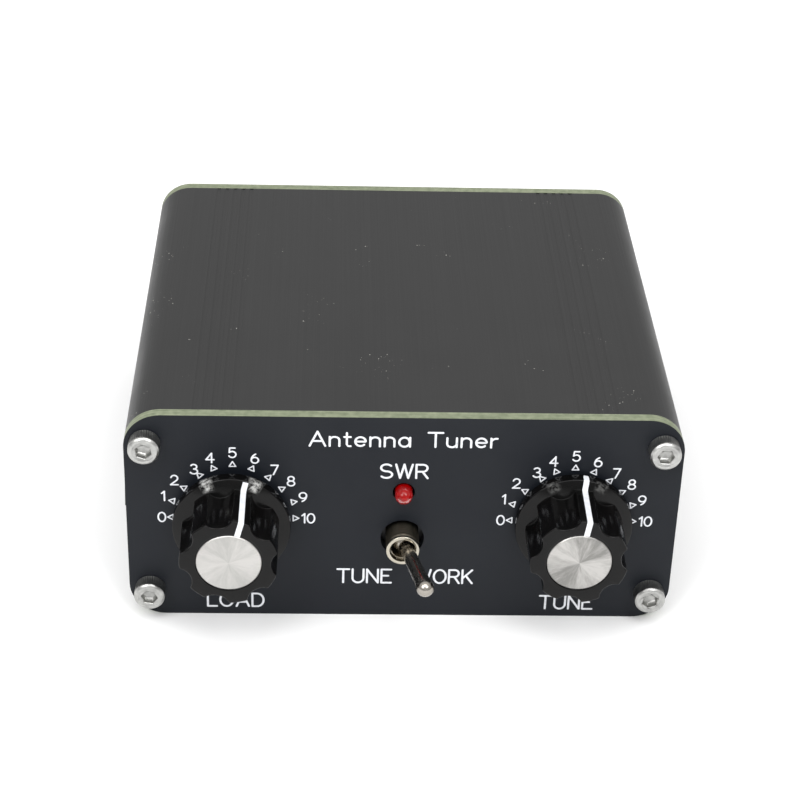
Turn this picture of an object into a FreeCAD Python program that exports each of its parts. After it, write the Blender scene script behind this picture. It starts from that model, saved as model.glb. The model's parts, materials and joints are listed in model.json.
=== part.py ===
import FreeCAD, Part
import math
import os

# Small antenna tuner in a split aluminium case: two identical extruded halves, a front and a rear
# panel of circuit-board material, two fluted knobs on variable capacitors, a toggle switch, a lamp,
# a toroid coil on the main board, and two coaxial jacks and two binding posts at the rear.
# Millimetres. Origin: centre of the case's footprint, on its underside. +X right seen from the
# front, +Y to the rear, +Z up. Most pieces are built in a local frame whose XZ plane is a panel's
# outer face: h is the distance out of that face, so y = -h, and the inside of the case has h < 0.

V = FreeCAD.Vector

# ---- driving dimensions -------------------------------------------------------------------
CASE_WIDTH, CASE_HEIGHT, CASE_LENGTH = 97.0, 42.0, 87.0
CORNER_RADIUS = 6.5
WALL = 1.8
PANEL = 2.0                       # thickness of the front and rear panels
MID_Z = CASE_HEIGHT / 2
FACE_Y = CASE_LENGTH / 2 + PANEL  # outer face of either panel, from the origin
FREE = 0.05                       # radial clearance between a shaft or thread and its hole

SPLIT_OFFSET = 1.0                # the halves meet this far above or below mid height
SPLIT_GAP = 0.025
LIP_PROUD = 0.35                  # the lapping wall stands this far outside the other half
TONGUE = (0.8, 1.4)               # thickness and height of the locating tongue
GROOVE_COUNT, GROOVE_PITCH, GROOVE_FIRST_X = 5, 1.67, 29.6
GROOVE_RADIUS, GROOVE_DEPTH = 0.85, 0.15

SCREW_X, SCREW_INSET_Z = 44.8, 5.6
SCREW_RADIUS, SCREW_LENGTH = 1.5, 8.0
HEAD_RADIUS, HEAD_HEIGHT, HEAD_CHAMFER = 2.75, 3.0, 0.35
HEX_FLATS, HEX_DEPTH = 2.5, 1.5
BOSS_RADIUS = 2.6

BOARD_BOTTOM, BOARD_THICK = 8.4, 1.6
BOARD_TOP = BOARD_BOTTOM + BOARD_THICK
BOARD_WIDTH, BOARD_LENGTH = 92.8, 85.0
RIB_REACH, RIB_Z = 2.0, (10.3, 11.5)
LEAD_RADIUS = 0.35
LEAD_HOLE = 0.55
LEAD_END_Z = 7.0

KNOB_X = 30.0
CONTROLS = {                      # name: (x of the axis, back of the knob, pointer angle at rest)
    "load": (-KNOB_X, 1.45, 15.0),
    "tune": (KNOB_X, 0.55, 8.5),
}
KNOB_HEIGHT, SKIRT_HEIGHT, SKIRT_RADIUS = 12.15, 1.95, 10.3
LEDGE_SLOPE = 0.3                 # rise of the skirt's front towards the grip
FLUTED_BASE_RADIUS, FLUTED_FACE_RADIUS = 8.6, 8.5
FLUTE_COUNT, FLUTE_RADIUS, FLUTE_FLOOR = 7, 2.9, 7.2
KNOB_ROUNDING = 0.45
CAP_RADIUS, CAP_THICK, CAP_SUNK = 5.6, 0.6, 0.5
BUSH_RADIUS, BUSH_LENGTH = 4.7, 10.0
SHAFT_RADIUS = 3.0
STUB_END, EXTENSION_END = 1.0, 9.2
SHAFT_SCREW_RADIUS = 1.25
GRUB_RADIUS, GRUB_LENGTH, GRUB_H = 1.5, 3.9, 6.0

CAPACITOR_SIDE, CAPACITOR_DEPTH, CAPACITOR_WALL = 20.0, 12.5, 1.2
CAPACITOR_FRONT = 1.6             # thickness of its front wall, which holds the fixing screws
COLLAR_RADIUS, COLLAR_HEIGHT = 4.2, 1.1
FIXING_SPACING = 14.0
FIXING_HEAD_RADIUS, FIXING_HEAD_DEPTH = 2.2, 0.95   # countersunk flush with the front panel
FIXING_CROSS, FIXING_CROSS_HALF, FIXING_CROSS_DEPTH = 1.2, 0.25, 0.6
VANE_COUNT, VANE_PITCH, VANE_THICK = 6, 1.3, 0.35
STATOR_GAP = 0.3                  # from the fixed vanes to the case's side walls
STATOR_POST_RADIUS, STATOR_POST_INSET = 0.6, 0.8
ROTOR_VANE_RADIUS, SPINDLE_RADIUS = 7.8, 1.6

SWITCH_Z, SWITCH_HOLE = 16.9, 3.85
PIVOT_H = 0.5                     # the lever turns just in front of the panel's face
LEVER_TILT = 14.1                 # each way from straight out
LEVER_LENGTH, LEVER_TIP_RADIUS, LEVER_NECK_RADIUS = 16.15, 1.55, 1.2
LEVER_BALL, TAIL_RADIUS, TAIL_LENGTH = 2.0, 0.9, 8.6
BUSHING_RADIUS, BUSHING_FRONT, BUSHING_PITCH = 2.95, 3.9, 0.75
SWITCH_BODY = (13.2, 9.5, 11.4)   # width, depth, height
SWITCH_BODY_H = -3.5
SWITCH_PLATE = 0.6
POLE_Z = 2.4                      # each pole's distance from the switch's middle plane
PLUNGER_H, PLUNGER_HALF = (-9.2, -6.0), (1.3, 3.2)
NOSE_RADIUS, NOSE_WIDTH = 0.7, 1.6
TERMINAL_WIDTH, TERMINAL_THICK = 0.8, 0.5
TERMINAL_BEND = {-1: 2.2, 1: 4.4}  # how far behind the body each pole's terminals turn down
ROCKER_ARM, ROCKER_THICK, ROCKER_WIDTH = 4.3, 0.5, 1.8
ROCKER_H, ROCKER_VEE, ROCKER_TILT = -10.4, 10.0, 8.0
TERMINAL_X = (-4.7, 0.0, 4.7)

LAMP_Z, LAMP_HOLE = 26.7, 1.95
LAMP_RADIUS, LAMP_FLANGE = 1.55, 1.9
LAMP_BACK, LAMP_TIP = -3.05, 2.6  # the lens stands out of the panel, its flange is just behind it
LAMP_LEAD_X, LAMP_LEAD_BACK, LAMP_LEAD_RADIUS = 1.27, -15.5, 0.25

CORE_OUTER, CORE_INNER, CORE_HEIGHT = 16.5, 9.9, 11.1
CORE_Y = 11.5
CORE_ROUNDING, CORE_LIFT = 0.5, 2.2
WIRE_RADIUS = 0.4
TURNS, LINK_TURNS = 24, 4
WINDING_ARC, LINK_ARC = (35, 290), (150, 50)   # start and span round the core, degrees
LINK_SWELL = 0.95                 # the link winding lies outside the main one by this much
RESISTOR_RADIUS, RESISTOR_LENGTH = 2.3, 9.0
RESISTOR_X, RESISTOR_YS = -3.0, (-23.5, -17.5, -11.5)
DIODE = (0.95, 4.2, 14.0, -23.5)  # radius, length, x, y
LAMP_RESISTOR = (1.15, 6.2, 14.0, -17.5)
DISC_RADIUS, DISC_THICK, DISC_LIFT, DISC_PIN_X = 3.0, 2.0, 4.4, 2.0
DISC_PLACES = ((14.0, -11.5), (-26.0, -21.5))

JACK_X = 30.0
POST_X = 19.05 / 2                # standard spacing of a pair of 4 mm posts
JACK_RADIUS, JACK_REACH, JACK_THREAD, JACK_TAIL = 4.83, 14.5, 4.7, -9.0
JACK_BORE, JACK_BORE_FLOOR = 4.1, 5.0
LUG_RADIUS, LUG_PROUD, LUG_H = 1.0, 0.8, 10.5
HEX_FLANGE, FLANGE_THICK = 14.0, 2.2
SLEEVE_RADIUS, CONTACT_RADIUS, CONTACT_BORE = 2.45, 1.1, 0.7
WASHER_RADIUS, WASHER_THICK, NUT_THICK = 7.6, 0.6, 2.4
STUD_RADIUS, STUD_TAIL = 2.0, -12.0
CROSS_HOLE_RADIUS = 1.0
POST_RADIUS, POST_REACH, POST_BORE = 3.0, 18.0, 2.05
POST_CAP_RADIUS, POST_BASE_RADIUS, POST_BASE = 5.8, 6.2, 3.0
POST_SPIGOT = 3.6                 # radius of the base's spigot in its panel hole
POST_GRIP_COUNT, POST_GRIP_RADIUS = 18, 0.45
POST_BUSH_THICK, POST_NUT_FLATS, POST_NUT_THICK = 2.4, 7.0, 3.2
HOOKUP_RADIUS = 0.6


# ---- helpers ------------------------------------------------------------------------------
def save(node, *solids):
    """Write one node: a single solid, or several separate ones."""
    shape = solids[0] if len(solids) == 1 else Part.makeCompound(list(solids))
    shape.exportStep("parts/" + node + ".step")


def fuse(first, *others):
    return first.multiFuse(list(others)).removeSplitter()


def block(x, y, z):
    """Box between pairs of coordinates."""
    size = [pair[1] - pair[0] for pair in (x, y, z)]
    return Part.makeBox(size[0], size[1], size[2], V(x[0], y[0], z[0]))


def rod(radius, h_low, h_high, x=0.0, z=0.0):
    """Cylinder along the panel's normal, between two distances out of the face."""
    return Part.makeCylinder(radius, h_high - h_low, V(x, -h_low, z), V(0, -1, 0))


def turned(profile):
    """Solid of revolution about the panel's normal from (radius, h) points."""
    corners = [V(radius, -h, 0) for radius, h in profile]
    face = Part.Face(Part.makePolygon(corners + corners[:1]))
    return face.revolve(V(0, 0, 0), V(0, 1, 0), 360)


def hexagon(flats, h_low, h_high):
    corner = flats / math.sqrt(3)
    points = [V(corner * math.cos(math.radians(60 * k)), -h_low, corner * math.sin(math.radians(60 * k)))
              for k in range(7)]
    return Part.Face(Part.makePolygon(points)).extrude(V(0, h_low - h_high, 0))


def swept(points, radius):
    """Round wire along straight stretches, with mitred corners rounded by the sweep."""
    path = Part.makePolygon(points)
    start = (points[1] - points[0]).normalize()
    ring = Part.Wire([Part.Circle(points[0], start, radius).toShape()])
    return path.makePipeShell([ring], True, False, 2)


def turn_about_normal(shape, degrees):
    """Clockwise seen from in front of the panel."""
    copy = shape.copy()
    copy.rotate(V(0, 0, 0), V(0, 1, 0), degrees)
    return copy


def at_front(shape, x, z):
    copy = shape.copy()
    copy.translate(V(x, -FACE_Y, z))
    return copy


def at_rear(shape, x, z):
    copy = shape.copy()
    copy.rotate(V(0, 0, 0), V(0, 0, 1), 180)
    copy.translate(V(x, FACE_Y, z))
    return copy


# ---- enclosure ----------------------------------------------------------------------------
def rounded_bar(width, height, radius, y):
    bar = block((-width / 2, width / 2), y, (MID_Z - height / 2, MID_Z + height / 2))
    lengthwise = [e for e in bar.Edges if abs(e.tangentAt(e.FirstParameter).y) > 0.9]
    return bar.makeFillet(radius, lengthwise)


def case_half():
    """Lower half. Its left wall carries the tongue, its right wall laps over the other half's."""
    along = (-CASE_LENGTH / 2, CASE_LENGTH / 2)
    side = CASE_WIDTH / 2
    inner_side = side - WALL
    shell = rounded_bar(CASE_WIDTH, CASE_HEIGHT, CORNER_RADIUS, along)
    lap_top = MID_Z - SPLIT_OFFSET - SPLIT_GAP
    tongue_base = MID_Z + SPLIT_OFFSET - SPLIT_GAP
    splay = [V(side - 1, along[0], CORNER_RADIUS), V(side, along[0], CORNER_RADIUS),
             V(side + LIP_PROUD, along[0], lap_top), V(side - 1, along[0], lap_top)]
    lip = Part.Face(Part.makePolygon(splay + splay[:1])).extrude(V(0, CASE_LENGTH, 0))
    shell = shell.fuse(lip)
    shell = shell.cut(rounded_bar(CASE_WIDTH - 2 * WALL, CASE_HEIGHT - 2 * WALL, CORNER_RADIUS - WALL, along))

    added = []
    for sign in (-1, 1):
        added.append(rod(BOSS_RADIUS, along[0], along[1], sign * SCREW_X, SCREW_INSET_Z))
        ledge_x = sorted((sign * (SCREW_X - BOSS_RADIUS), sign * (inner_side + 0.5)))
        added.append(block(ledge_x, along, (SCREW_INSET_Z, SCREW_INSET_Z + BOSS_RADIUS)))
        rib_x = sorted((sign * (inner_side - RIB_REACH), sign * (inner_side + 0.5)))
        added.append(block(rib_x, along, RIB_Z))
    shell = shell.multiFuse(added)

    far = CASE_WIDTH
    shell = shell.cut(block((-far, 0), along, (tongue_base, far)))
    shell = shell.cut(block((0, far), along, (lap_top, far)))
    thickness, height = TONGUE
    shell = shell.fuse(block((-inner_side - thickness, -inner_side), along, (tongue_base - 1, tongue_base + height)))
    rebate_x = (inner_side - 1, inner_side + thickness + FREE)
    shell = shell.cut(block(rebate_x, along, (lap_top - height - FREE, lap_top + 1)))

    cutters = []
    for sign in (-1, 1):
        cutters.append(rod(SCREW_RADIUS + FREE, along[0], along[1], sign * SCREW_X, SCREW_INSET_Z))
        for k in range(GROOVE_COUNT):
            x = sign * (GROOVE_FIRST_X + k * GROOVE_PITCH)
            cutters.append(rod(GROOVE_RADIUS, along[0], along[1], x, GROOVE_DEPTH - GROOVE_RADIUS))
    return shell.cut(Part.makeCompound(cutters)).removeSplitter()


def upside_down(shape):
    copy = shape.copy()
    copy.rotate(V(0, 0, MID_Z), V(0, 1, 0), 180)
    return copy


def panel(y_low, holes):
    """Panel plate with round holes given as (x, z, radius)."""
    plate = rounded_bar(CASE_WIDTH, CASE_HEIGHT, CORNER_RADIUS, (y_low, y_low + PANEL))
    corners = [(sx * SCREW_X, MID_Z + sz * (MID_Z - SCREW_INSET_Z), SCREW_RADIUS + 0.15)
               for sx in (-1, 1) for sz in (-1, 1)]
    drills = [rod(radius, -y_low - PANEL - 1, -y_low + 1, x, z) for x, z, radius in corners + holes]
    return plate.cut(Part.makeCompound(drills))


def socket_screw():
    head = turned([(0, 0), (HEAD_RADIUS, 0), (HEAD_RADIUS, HEAD_HEIGHT - HEAD_CHAMFER),
                   (HEAD_RADIUS - HEAD_CHAMFER, HEAD_HEIGHT), (0, HEAD_HEIGHT)])
    shank = rod(SCREW_RADIUS, -SCREW_LENGTH, 0.5)
    return fuse(head, shank).cut(hexagon(HEX_FLATS, HEAD_HEIGHT - HEX_DEPTH, HEAD_HEIGHT + 1))


def countersink(clearance):
    """Sinking in the panel for a fixing screw's head."""
    radius = FIXING_HEAD_RADIUS + clearance
    neck = SHAFT_SCREW_RADIUS + clearance
    return turned([(0, clearance), (radius, clearance), (radius, 0), (neck, -FIXING_HEAD_DEPTH),
                   (0, -FIXING_HEAD_DEPTH)])


def corner_screws(place):
    screw = socket_screw()
    return [place(screw, sx * SCREW_X, MID_Z + sz * (MID_Z - SCREW_INSET_Z)) for sx in (-1, 1) for sz in (-1, 1)]


def build_enclosure():
    half = case_half()
    save("lower_case", half)
    save("upper_case", upside_down(half))

    front_holes = [(0, SWITCH_Z, SWITCH_HOLE), (0, LAMP_Z, LAMP_HOLE)]
    sinks = []
    for x in (-KNOB_X, KNOB_X):
        front_holes.append((x, MID_Z, COLLAR_RADIUS + 0.3))
        for side in (-1, 1):
            fixing_x = x + side * FIXING_SPACING / 2
            front_holes.append((fixing_x, MID_Z, SHAFT_SCREW_RADIUS + 0.15))
            sinks.append(at_front(countersink(0.06), fixing_x, MID_Z))
    save("front_panel", panel(-FACE_Y, front_holes).cut(Part.makeCompound(sinks)))

    rear_holes = [(sign * JACK_X, MID_Z, JACK_THREAD + FREE) for sign in (-1, 1)]
    rear_holes += [(sign * POST_X, MID_Z, POST_RADIUS + 0.6 + FREE) for sign in (-1, 1)]
    save("rear_panel", panel(FACE_Y - PANEL, rear_holes))

    save("front_panel_screws", *corner_screws(at_front))
    save("rear_panel_screws", *corner_screws(at_rear))


# ---- knobs and variable capacitors --------------------------------------------------------
def knob(back):
    """Fluted knob with its pointer crest up."""
    ledge, face = back + SKIRT_HEIGHT, back + KNOB_HEIGHT
    edge = 0.25
    rise = LEDGE_SLOPE * (SKIRT_RADIUS - FLUTE_FLOOR)
    skirt = turned([(0, back), (SKIRT_RADIUS - edge, back), (SKIRT_RADIUS, back + edge),
                    (SKIRT_RADIUS, ledge - edge), (SKIRT_RADIUS - edge, ledge),
                    (FLUTE_FLOOR - 1, ledge + rise), (0, ledge + rise)])
    flutes = []
    for k in range(FLUTE_COUNT):
        flute = rod(FLUTE_RADIUS, back - 1, face + 1, 0, FLUTE_FLOOR + FLUTE_RADIUS)
        flutes.append(turn_about_normal(flute, (k + 0.5) * 360 / FLUTE_COUNT))
    grip = rod(FLUTED_BASE_RADIUS, back + edge, face).cut(Part.makeCompound(flutes))
    corners = [e for e in grip.Edges if e.BoundBox.YLength > 1 and e.BoundBox.XLength + e.BoundBox.ZLength < 0.01]
    grip = grip.makeFillet(KNOB_ROUNDING, corners)
    taper = turned([(0, back), (FLUTED_BASE_RADIUS, ledge), (FLUTED_FACE_RADIUS, face), (0, face)])
    rim = [e for e in taper.Edges if e.BoundBox.YLength < 0.01 and abs(e.BoundBox.YMin + face) < 0.01]
    grip = grip.common(taper.makeFillet(KNOB_ROUNDING, rim))
    body = fuse(skirt, grip)
    body = body.cut(rod(BUSH_RADIUS + FREE, back - 1, back + BUSH_LENGTH + 0.4))
    body = body.cut(rod(CAP_RADIUS + FREE, face - CAP_SUNK, face + 1))
    grub_hole = Part.makeCylinder(GRUB_RADIUS + 0.1, SKIRT_RADIUS, V(0, -back - GRUB_H, 0), V(0, 0, -1))
    return body.cut(grub_hole)


def knob_cap(back):
    top = back + KNOB_HEIGHT - CAP_SUNK + CAP_THICK
    low = back + KNOB_HEIGHT - CAP_SUNK
    edge = 0.15
    return turned([(0, low), (CAP_RADIUS, low), (CAP_RADIUS, top - edge), (CAP_RADIUS - edge, top), (0, top)])


def knob_bush(back):
    bush = rod(BUSH_RADIUS, back + 0.2, back + 0.2 + BUSH_LENGTH).cut(rod(SHAFT_RADIUS + FREE, back - 1, face_of(back)))
    thread = Part.makeCylinder(GRUB_RADIUS + FREE, SKIRT_RADIUS, V(0, -back - GRUB_H, 0), V(0, 0, -1))
    return bush.cut(thread)


def face_of(back):
    return back + KNOB_HEIGHT


def grub_screw(back):
    """Radial screw through the bush, opposite the pointer, with a hexagon socket at its outer end."""
    screw = rod(GRUB_RADIUS, 0, GRUB_LENGTH).cut(hexagon(1.5, GRUB_LENGTH - 1.3, GRUB_LENGTH + 1))
    screw.rotate(V(0, 0, 0), V(1, 0, 0), 90)
    screw.translate(V(0, -back - GRUB_H, -SHAFT_RADIUS - FREE / 2))
    return screw


def shaft_extension():
    return rod(SHAFT_RADIUS, STUB_END + FREE, EXTENSION_END).cut(rod(SHAFT_SCREW_RADIUS + FREE, 0, EXTENSION_END + 1))


def shaft_screw():
    shank = rod(SHAFT_SCREW_RADIUS, -3.0, EXTENSION_END + 0.2)
    slot = block((-3, 3), (-EXTENSION_END - 2, -EXTENSION_END - 1), (-0.3, 0.3))
    return fuse(rod(2.2, EXTENSION_END, EXTENSION_END + 1.5), shank).cut(slot)


def half_disc(radius, h_low, h_high):
    return rod(radius, h_low, h_high).cut(block((-radius, radius), (-h_high - 1, -h_low + 1), (-radius - 1, 0)))


def vane_heights(count, offset):
    """Mid heights of a stack of vanes, counted inwards from the capacitor's front wall."""
    first = -PANEL - CAPACITOR_FRONT - 1.4
    return [first - (k + offset) * VANE_PITCH for k in range(count)]


def capacitor_rotor():
    inner_end = -PANEL - CAPACITOR_DEPTH + CAPACITOR_WALL + 0.2
    shaft = rod(SHAFT_RADIUS, -PANEL - CAPACITOR_FRONT - 0.3, STUB_END)
    spindle = rod(SPINDLE_RADIUS, inner_end, -PANEL)
    vanes = [half_disc(ROTOR_VANE_RADIUS, mid - VANE_THICK / 2, mid + VANE_THICK / 2)
             for mid in vane_heights(VANE_COUNT, 0)]
    rotor = fuse(shaft, spindle, *vanes)
    return rotor.cut(rod(SHAFT_SCREW_RADIUS + FREE, -3.4, STUB_END + 1))


def capacitor_stator():
    """Fixed vanes on two posts, whose ends come out at the back as terminals."""
    half = CAPACITOR_SIDE / 2 - CAPACITOR_WALL - STATOR_GAP
    pieces = []
    for mid in vane_heights(VANE_COUNT - 1, 0.5):
        plate = block((-half, half), (-mid - VANE_THICK / 2, -mid + VANE_THICK / 2), (-half, -0.2))
        pieces.append(plate.cut(rod(SPINDLE_RADIUS + 0.8, mid - 1, mid + 1)))
    post_x = half - STATOR_POST_INSET
    inner = -PANEL - CAPACITOR_DEPTH
    for x in (-post_x, post_x):
        pieces.append(rod(STATOR_POST_RADIUS, inner - 2.0, -PANEL - CAPACITOR_FRONT - 0.1, x, -post_x))
    return fuse(*pieces)


def capacitor_case():
    half, back = CAPACITOR_SIDE / 2, -PANEL - CAPACITOR_DEPTH
    inner = half - CAPACITOR_WALL
    cover = block((-half, half), (PANEL, -back), (-half, half))
    hollow = block((-inner, inner), (PANEL + CAPACITOR_FRONT, -back - CAPACITOR_WALL), (-inner, inner))
    cover = cover.cut(hollow)
    cover = cover.fuse(rod(COLLAR_RADIUS, -PANEL - 0.5, -PANEL + COLLAR_HEIGHT))
    drills = [rod(SHAFT_RADIUS + FREE, -PANEL - CAPACITOR_FRONT - 0.1, 0)]
    terminal = inner - STATOR_GAP - STATOR_POST_INSET
    for sign in (-1, 1):
        drills.append(rod(SHAFT_SCREW_RADIUS + FREE, -PANEL - CAPACITOR_FRONT - 0.1, 0,
                          sign * FIXING_SPACING / 2))
        drills.append(rod(STATOR_POST_RADIUS + FREE, back - 1, back + CAPACITOR_WALL + 0.1,
                          sign * terminal, -terminal))
    return cover.cut(Part.makeCompound(drills)).removeSplitter()


def fixing_screw():
    head = turned([(0, 0), (FIXING_HEAD_RADIUS, 0), (SHAFT_SCREW_RADIUS, -FIXING_HEAD_DEPTH),
                   (0, -FIXING_HEAD_DEPTH)])
    shank = rod(SHAFT_SCREW_RADIUS, -PANEL - CAPACITOR_FRONT + 0.2, -FIXING_HEAD_DEPTH)
    arm, half = (-FIXING_CROSS, FIXING_CROSS), (-FIXING_CROSS_HALF, FIXING_CROSS_HALF)
    depth = (-1, FIXING_CROSS_DEPTH)
    cross = [block(arm, depth, half), block(half, depth, arm)]
    return fuse(head, shank).cut(Part.makeCompound(cross))


def build_controls():
    for name, (x, back, pointer) in CONTROLS.items():
        def put(shape):
            return at_front(turn_about_normal(shape, pointer), x, MID_Z)

        save(name + "_knob", put(knob(back)))
        save(name + "_knob_cap", put(knob_cap(back)))
        save(name + "_knob_bush", put(knob_bush(back)))
        save(name + "_knob_grub_screw", put(grub_screw(back)))
        save(name + "_shaft_extension", put(shaft_extension()))
        save(name + "_shaft_screw", put(shaft_screw()))
        save(name + "_capacitor_rotor", put(capacitor_rotor()))
        save(name + "_capacitor_stator", at_front(capacitor_stator(), x, MID_Z))
        save(name + "_capacitor_case", at_front(capacitor_case(), x, MID_Z))
        save(name + "_capacitor_screws",
             *[at_front(fixing_screw(), x + side * FIXING_SPACING / 2, MID_Z) for side in (-1, 1)])


# ---- toggle switch ------------------------------------------------------------------------
def tilted(shape):
    """Swing a lever piece about the pivot to its rest position, tip to the right."""
    copy = shape.copy()
    copy.rotate(V(0, -PIVOT_H, 0), V(0, 0, 1), LEVER_TILT)
    return copy


def toggle_lever():
    reach = PIVOT_H + LEVER_LENGTH - LEVER_TIP_RADIUS
    stick = turned([(0, PIVOT_H), (LEVER_NECK_RADIUS, PIVOT_H), (LEVER_NECK_RADIUS, BUSHING_FRONT),
                    (LEVER_TIP_RADIUS, reach), (0, reach)])
    tip = Part.makeSphere(LEVER_TIP_RADIUS, V(0, -reach, 0))
    ball = Part.makeSphere(LEVER_BALL, V(0, -PIVOT_H, 0))
    tail = rod(TAIL_RADIUS, PIVOT_H - TAIL_LENGTH, PIVOT_H)
    return tilted(fuse(stick, tip, ball, tail))


def toggle_plunger():
    """Moulded foot on the lever's tail, with a rounded nose over each contact rocker."""
    low, top = (PIVOT_H + h for h in PLUNGER_H)
    half_x, half_z = PLUNGER_HALF
    foot = block((-half_x, half_x), (-top, -low), (-half_z, half_z))
    pieces = [foot]
    for sign in (-1, 1):
        z = (sign * POLE_Z - NOSE_WIDTH / 2, sign * POLE_Z + NOSE_WIDTH / 2)
        pieces.append(block((-NOSE_RADIUS, NOSE_RADIUS), (-low - 0.5, -low + NOSE_RADIUS), z))
        pieces.append(Part.makeCylinder(NOSE_RADIUS, NOSE_WIDTH, V(0, -low + NOSE_RADIUS, z[0]), V(0, 0, 1)))
    return tilted(fuse(*pieces).cut(rod(TAIL_RADIUS + FREE, PIVOT_H - TAIL_LENGTH - 0.1, PIVOT_H)))


def toggle_bushing():
    """Threaded bushing on a cover plate; its bore is the lever ball's bearing."""
    plate_front = SWITCH_BODY_H + SWITCH_PLATE
    profile = [(LEVER_BALL + FREE, SWITCH_BODY_H), (SWITCH_BODY[2] / 2 - 1.5, SWITCH_BODY_H),
               (SWITCH_BODY[2] / 2 - 1.5, plate_front), (BUSHING_RADIUS, plate_front)]
    root = BUSHING_RADIUS - 0.3
    turns = int((BUSHING_FRONT - 0.4 - plate_front) / BUSHING_PITCH)
    for k in range(turns):
        h = plate_front + 0.2 + k * BUSHING_PITCH
        profile += [(BUSHING_RADIUS, h), (root, h + BUSHING_PITCH / 2), (BUSHING_RADIUS, h + BUSHING_PITCH - 0.05)]
    mouth = LEVER_BALL + 0.4
    profile += [(BUSHING_RADIUS, BUSHING_FRONT - 0.15), (BUSHING_RADIUS - 0.15, BUSHING_FRONT),
                (mouth, BUSHING_FRONT), (LEVER_BALL + FREE, BUSHING_FRONT - 0.7)]
    width, height = SWITCH_BODY[0] / 2, SWITCH_BODY[2] / 2
    plate = block((-width, width), (-plate_front, -SWITCH_BODY_H), (-height, height))
    plate = plate.cut(rod(LEVER_BALL + FREE, SWITCH_BODY_H - 1, 0))
    return fuse(turned(profile), plate)


def terminal_shape(x, pole, grow=0.0):
    """One flat terminal: contact head, pin through the back wall, then down through the board."""
    half, thick = TERMINAL_WIDTH / 2 + grow, TERMINAL_THICK / 2 + grow
    z = pole * POLE_Z
    back = SWITCH_BODY_H - SWITCH_BODY[1]
    head_h = ROCKER_H - ROCKER_THICK - 0.25
    bend = back - TERMINAL_BEND[pole]
    through = block((x - half, x + half), (-head_h, -bend), (z - thick, z + thick))
    down = block((x - half, x + half), (-bend - thick, -bend + thick), (LEAD_END_Z - SWITCH_Z, z + thick))
    return fuse(through, down)


def toggle_body():
    width, depth, height = SWITCH_BODY
    back = SWITCH_BODY_H - depth
    wall = 1.0
    body = block((-width / 2, width / 2), (-SWITCH_BODY_H, -back), (-height / 2, height / 2))
    body = body.cut(block((-width / 2 + wall, width / 2 - wall), (-SWITCH_BODY_H + wall, -back - wall),
                          (-height / 2 + wall, height / 2 - wall)))
    body = body.cut(rod(LEVER_BALL + 0.4, SWITCH_BODY_H - wall - 0.1, SWITCH_BODY_H + 1))
    for x in TERMINAL_X:
        for pole in (-1, 1):
            body = body.cut(terminal_shape(x, pole, FREE))
    return body


def toggle_rocker(pole):
    """Shallow V of springy metal that tips on the middle terminal."""
    rise = ROCKER_ARM * math.tan(math.radians(ROCKER_VEE))
    front = [(-ROCKER_ARM, ROCKER_H + rise), (0, ROCKER_H), (ROCKER_ARM, ROCKER_H + rise)]
    back = [(x, h - ROCKER_THICK) for x, h in reversed(front)]
    points = [V(x, -h, pole * POLE_Z - ROCKER_WIDTH / 2) for x, h in front + back]
    rocker = Part.Face(Part.makePolygon(points + points[:1])).extrude(V(0, 0, ROCKER_WIDTH))
    rocker.rotate(V(0, -ROCKER_H, 0), V(0, 0, 1), -ROCKER_TILT)
    return rocker


def build_switch():
    save("toggle_lever", at_front(toggle_lever(), 0, SWITCH_Z))
    save("toggle_plunger", at_front(toggle_plunger(), 0, SWITCH_Z))
    save("toggle_bushing", at_front(toggle_bushing(), 0, SWITCH_Z))
    save("toggle_body", at_front(toggle_body(), 0, SWITCH_Z))
    save("toggle_rockers", *[at_front(toggle_rocker(pole), 0, SWITCH_Z) for pole in (-1, 1)])
    save("toggle_terminals",
         *[at_front(terminal_shape(x, pole), 0, SWITCH_Z) for x in TERMINAL_X for pole in (-1, 1)])


# ---- lamp ---------------------------------------------------------------------------------
def build_lamp():
    dome_start = LAMP_TIP - LAMP_RADIUS
    lens = fuse(rod(LAMP_RADIUS, LAMP_BACK, dome_start), rod(LAMP_FLANGE, LAMP_BACK, LAMP_BACK + 1),
                Part.makeSphere(LAMP_RADIUS, V(0, -dome_start, 0)))
    save("swr_lamp", at_front(lens, 0, LAMP_Z))
    leads = []
    for x in (-LAMP_LEAD_X, LAMP_LEAD_X):
        leads.append(swept([V(x, -LAMP_BACK, 0), V(x, -LAMP_LEAD_BACK, 0),
                            V(x, -LAMP_LEAD_BACK, LEAD_END_Z - LAMP_Z)], LAMP_LEAD_RADIUS))
    save("swr_lamp_leads", *[at_front(lead, 0, LAMP_Z) for lead in leads])


# ---- main board ---------------------------------------------------------------------------
def axial(radius, length, x, y):
    """Component lying along X with both leads bent down through the board."""
    z = BOARD_TOP + radius + 0.4
    half = length / 2 + 2.0
    body = Part.makeCylinder(radius, length, V(x - length / 2, y, z), V(1, 0, 0))
    wire = swept([V(x - half, y, LEAD_END_Z), V(x - half, y, z), V(x + half, y, z), V(x + half, y, LEAD_END_Z)],
                 LEAD_RADIUS)
    return fuse(body, wire), [(x - half, y), (x + half, y)]


def disc_capacitor(x, y):
    z = BOARD_TOP + DISC_LIFT
    body = Part.makeCylinder(DISC_RADIUS, DISC_THICK, V(x, y - DISC_THICK / 2, z), V(0, 1, 0))
    pins = [(x - DISC_PIN_X, y), (x + DISC_PIN_X, y)]
    legs = [Part.makeCylinder(LEAD_RADIUS, z - LEAD_END_Z, V(px, py, LEAD_END_Z)) for px, py in pins]
    return fuse(body, *legs), pins


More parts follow.
